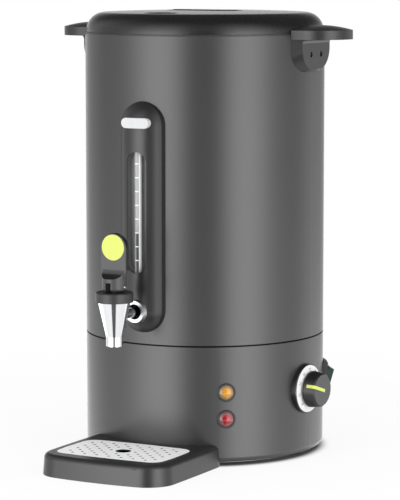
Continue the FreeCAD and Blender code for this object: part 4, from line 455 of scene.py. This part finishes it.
# Smoky green polycarbonate: dark and glossy
smoky_green = surface("smoky_polycarbonate", "#20362b", "#2c4a3a", patch=6, rough=(0.14, 0.24), grain=0.8,
                      depth=0.006, IOR=1.58, Coat_Weight=0.3)
# Black nylon, spark-finished: matt
switch_nylon = surface("spark_finished_nylon", "#141415", "#19191a", patch=6, rough=(0.5, 0.6), grain=0.6,
                       depth=0.008, IOR=1.5)
dress(switch_nylon, "switch_frame")
dress(smoky_green, "switch_rocker")

# Handles
# Two moulded handles, each a bowed plate on a U-shaped tab, held by two screws.

# Glass-filled nylon: black satin with a faint grain
handle_nylon = surface("glass_filled_nylon", "#1e1e1f", "#232324", patch=12, rough=(0.3, 0.4), grain=0.8,
                       depth=0.004, IOR=1.55)
dress(handle_nylon, "handle_right", "handle_left")

# Lid
# A moulded shell with a grip over its finger well, a louvre in the steam opening, a stainless liner
# under it and a silicone seal.

# Lid nylon: near black and smooth, with a soft gloss
lid_nylon = surface("lid_nylon", "#161617", "#1a1a1b", patch=25, rough=(0.24, 0.32), grain=0.9,
                    depth=0.003, IOR=1.56)
# The mouth of the steam opening is painted near black as painted shade, and takes no gloss
tree = lid_nylon.node_tree
mouth_centre, mouth_size = (0, -98 * MM, 503 * MM), (22 * MM, 13 * MM, 7 * MM)
off = add_node(tree, "VectorMath", {0: tree.nodes["Texture Coordinate"].outputs["Object"], 1: mouth_centre},
               operation="SUBTRACT")
off = add_node(tree, "VectorMath", {0: off.outputs[0], 1: mouth_size}, operation="DIVIDE")
off = add_node(tree, "VectorMath", {0: off.outputs[0]}, operation="LENGTH").outputs["Value"]
mouth = calc(tree, "LESS_THAN", off, 1.0)
recolour(tree, mouth, "#070707")
feed(tree, "Specular IOR Level", ramp(tree, mouth, 0.0, 1.0, FULL_GLOSS, 0.0))
dress(lid_nylon, "lid", "lid_grip")
dress(matt_shaded_nylon, "lid_steam_vent")
dress(stainless_sheet, "lid_liner")
dress(silicone, "lid_seal")
dress(zinc_plate, "lid_screws")

# Drip tray and grille
# A loose moulded tray with an inset stainless grille, punched with staggered holes and one large one.

# Polypropylene: dark, with a waxy sheen
tray_polypropylene = surface("moulded_polypropylene", "#222223", "#272728", patch=18, rough=(0.30, 0.38),
                             grain=0.9, depth=0.008, IOR=1.6)
# Punched stainless sheet: pale and satin, its punched edges dull and in shade
punched_stainless = surface("punched_stainless", "#f8f8f8", "#fcfcfc", patch=12, rough=(0.4, 0.5),
                            grain=0.7, depth=0.002, stretch=(10, 1, 1), Metallic=0.05)
tree = punched_stainless.node_tree
steep_below = 0.5
recolour(tree, calc(tree, "LESS_THAN", facing(tree)["Z"], steep_below), "#2a2a2b")
dress(tray_polypropylene, "drip_tray")
dress(punched_stainless, "drip_grille")

# Floor, lamps and world
# A white sweep that keeps the urn's shadow, and two tall soft boxes, left and right of the camera.
sweep_radius, sweep_sides = 9.0, 96
floor_mesh = bpy.data.meshes.new("floor")
sweep = bmesh.new()
bmesh.ops.create_circle(sweep, cap_ends=True, radius=sweep_radius, segments=sweep_sides)
sweep.to_mesh(floor_mesh)
sweep.free()
floor = bpy.data.objects.new("floor", floor_mesh)
bpy.context.scene.collection.objects.link(floor)
floor.visible_glossy = False

# Painted sweep: white and matt. Seen by the camera or in a mirror it shows white, and its shadow stays
white_sweep = surface("white_sweep", "#f2f2f2", "#f6f6f6", patch=400, rough=(0.8, 0.9), grain=30, depth=0.01)
tree = white_sweep.node_tree
near_share, near_to, white_from = 0.88, 0.25, 1.0
base_shade_to, clear_from = 0.131, 0.148
path = add_node(tree, "LightPath").outputs
seen = calc(tree, "MAXIMUM", path["Is Camera Ray"], path["Is Glossy Ray"])
seen = calc(tree, "MAXIMUM", seen, path["Is Transmission Ray"])
away = add_node(tree, "VectorMath", {0: tree.nodes["Texture Coordinate"].outputs["Object"]},
                operation="LENGTH").outputs["Value"]
fading = ramp(tree, away, near_to, white_from, near_share, 1.0, "SMOOTHSTEP")
# Under the base the floor is painted dark as a painted contact shadow, and its glow stops there
clear_of = ramp(tree, away, base_shade_to, clear_from, curve="SMOOTHSTEP")
recolour(tree, calc(tree, "SUBTRACT", 1.0, clear_of), "#707070")
share = calc(tree, "MULTIPLY", seen, calc(tree, "MULTIPLY", fading, clear_of))
glow = add_node(tree, "Emission", {"Color": linear("#ffffff"), "Strength": 1.0})
both = add_node(tree, "MixShader", {0: share, 1: tree.nodes["Principled BSDF"].outputs[0],
                                    2: glow.outputs[0]})
tree.links.new(both.outputs[0], tree.nodes["Material Output"].inputs["Surface"])
floor.data.materials.append(white_sweep)


def soft_box(name, azimuth, distance, width, height, power):
    """A tall soft box that faces the urn from that side, its lower edge near the floor."""
    off_floor = 0.02
    light = bpy.data.lights.new(name, "AREA")
    light.shape = "RECTANGLE"
    light.size = width
    light.size_y = height
    light.energy = power
    box = bpy.data.objects.new(name, light)
    turn = math.radians(azimuth)
    box.location = (math.sin(turn) * distance, -math.cos(turn) * distance, height / 2 + off_floor)
    aim = Vector((0, 0, box.location.z)) - box.location
    box.rotation_euler = aim.to_track_quat("-Z", "Y").to_euler()
    box.visible_camera = box.visible_glossy = False
    bpy.context.scene.collection.objects.link(box)


soft_box("soft_box_left", azimuth=-18, distance=1.25, width=0.95, height=0.85, power=4.9)
soft_box("soft_box_right", azimuth=76, distance=1.25, width=0.85, height=0.85, power=6.4)

world = bpy.data.worlds.new("studio")
bpy.context.scene.world = world
world.use_nodes = True
world.cycles.sampling_method = "NONE"
tree = world.node_tree
back = tree.nodes["Background"]
# What a mirror sees round the studio, by angle from the tap towards +X: two soft boxes, a black card
# between them, and pale walls
STUDIO = ((-90, 0.42), (-60, 0.75), (-48, 1.1), (-32, 2.8), (-16, 4.1), (0, 3.5), (9, 1.6), (14, 0.05),
          (42, 0.0), (47, 1.3), (57, 3.5), (70, 4.0), (83, 3.0), (94, 1.45), (106, 0.8), (125, 0.55),
          (137, 0.75), (150, 1.05), (162, 0.75), (185, 0.45), (210, 2.3), (240, 0.62))
# The same lower down, where the pale floor in front of them fills in
NEAR_FLOOR = ((-90, 0.95), (-30, 1.08), (6, 1.08), (12, 0.12), (42, 0.12), (48, 1.08), (140, 1.0),
              (170, 0.6), (240, 0.9))
BRIGHTEST = 4.5
direction = add_node(tree, "TexCoord").outputs["Generated"]
around = add_node(tree, "TexGradient", {0: direction}, gradient_type="RADIAL").outputs["Fac"]
way = add_node(tree, "SeparateXYZ", {0: direction}).outputs
rise, behind = way["Z"], way["Y"]


def levels_round(stations):
    """The light level in a direction, from stations of an angle and a level round the urn. The tap's side
    lies a quarter turn into the ring."""
    front = 0.25
    ring = add_node(tree, "ValToRGB", {0: around})
    stops = ring.color_ramp.elements
    while len(stops) < len(stations):
        stops.new(front)
    for stop, (angle, glow_level) in zip(stops, stations):
        stop.position = angle / 360 + front
        stop.color = [glow_level / BRIGHTEST] * 3 + [1.0]
    return calc(tree, "MULTIPLY", ring.outputs[0], BRIGHTEST)


def blend(share, first, second):
    """A level between two others."""
    return add_node(tree, "Mix", {0: share, 2: first, 3: second}).outputs[0]


# Higher up the walls are even, and over the lid hangs a dark card, which reaches lower behind the urn
even_from, even_at, even_share, even_level = 0.02, 0.35, 0.6, 0.7
card_low_front, card_low_rear = 0.42, -0.02
card_whole_front, card_whole_rear = 0.9, 0.36
rear_at, card_level = 0.5, 0.1
walls = blend(ramp(tree, rise, even_from, even_at, 0.0, even_share), levels_round(STUDIO), even_level)
card_low = ramp(tree, behind, 0.0, rear_at, card_low_front, card_low_rear)
card_whole = ramp(tree, behind, 0.0, rear_at, card_whole_front, card_whole_rear)
sky = blend(ramp(tree, rise, card_low, card_whole), walls, card_level)
# Below the walls lies the near floor. A band of bright floor lies further off than what the tap's cone
# mirrors.
floor_from, floor_whole = -0.2, -0.46
band_from, band_full, band_level, band_fades, band_ends = -0.12, -0.28, 1.5, -0.32, -0.44
mirrored = blend(ramp(tree, rise, floor_from, floor_whole), sky, levels_round(NEAR_FLOOR))
band = calc(tree, "MULTIPLY", ramp(tree, rise, band_from, band_full, 0.0, band_level),
            ramp(tree, rise, band_fades, band_ends, 1.0, 0.0))
mirrored = calc(tree, "ADD", mirrored, band)
# What lights the urn's dull surfaces: little from the side, more from above
fill_low, fill_high = 0.2, 1.3
path = add_node(tree, "LightPath").outputs
glossy = calc(tree, "MAXIMUM", path["Is Glossy Ray"], path["Is Transmission Ray"])
unseen = blend(glossy, ramp(tree, rise, 0.0, 1.0, fill_low, fill_high), mirrored)
back.inputs["Color"].default_value = linear("#ffffff")
tree.links.new(blend(path["Is Camera Ray"], unseen, 1.0), back.inputs["Strength"])

# Camera
# Eye level a little above the lid, 30 degrees round to the right of the tap, with a long lens. It looks
# down by the pitch, and a little to one side by the yaw.
azimuth, pitch, yaw = math.radians(30), math.radians(6.80871), math.radians(0.11594)
distance, eye_level = 2.8704, 0.5708
lens = bpy.data.cameras.new("camera")
lens.lens = 178.6
lens.sensor_width = 36
camera = bpy.data.objects.new("camera", lens)
bpy.context.scene.collection.objects.link(camera)
back_way = Vector((math.sin(azimuth), -math.cos(azimuth), 0))
right_way = Vector((math.cos(azimuth), math.sin(azimuth), 0))
ahead = -back_way * math.cos(yaw) - right_way * math.sin(yaw)
ahead = ahead * math.cos(pitch) - Vector((0, 0, 1)) * math.sin(pitch)
camera.location = back_way * distance + Vector((0, 0, eye_level))
camera.rotation_euler = ahead.to_track_quat("-Z", "Y").to_euler()
bpy.context.scene.camera = camera
bpy.context.scene.view_settings.view_transform = "Standard"
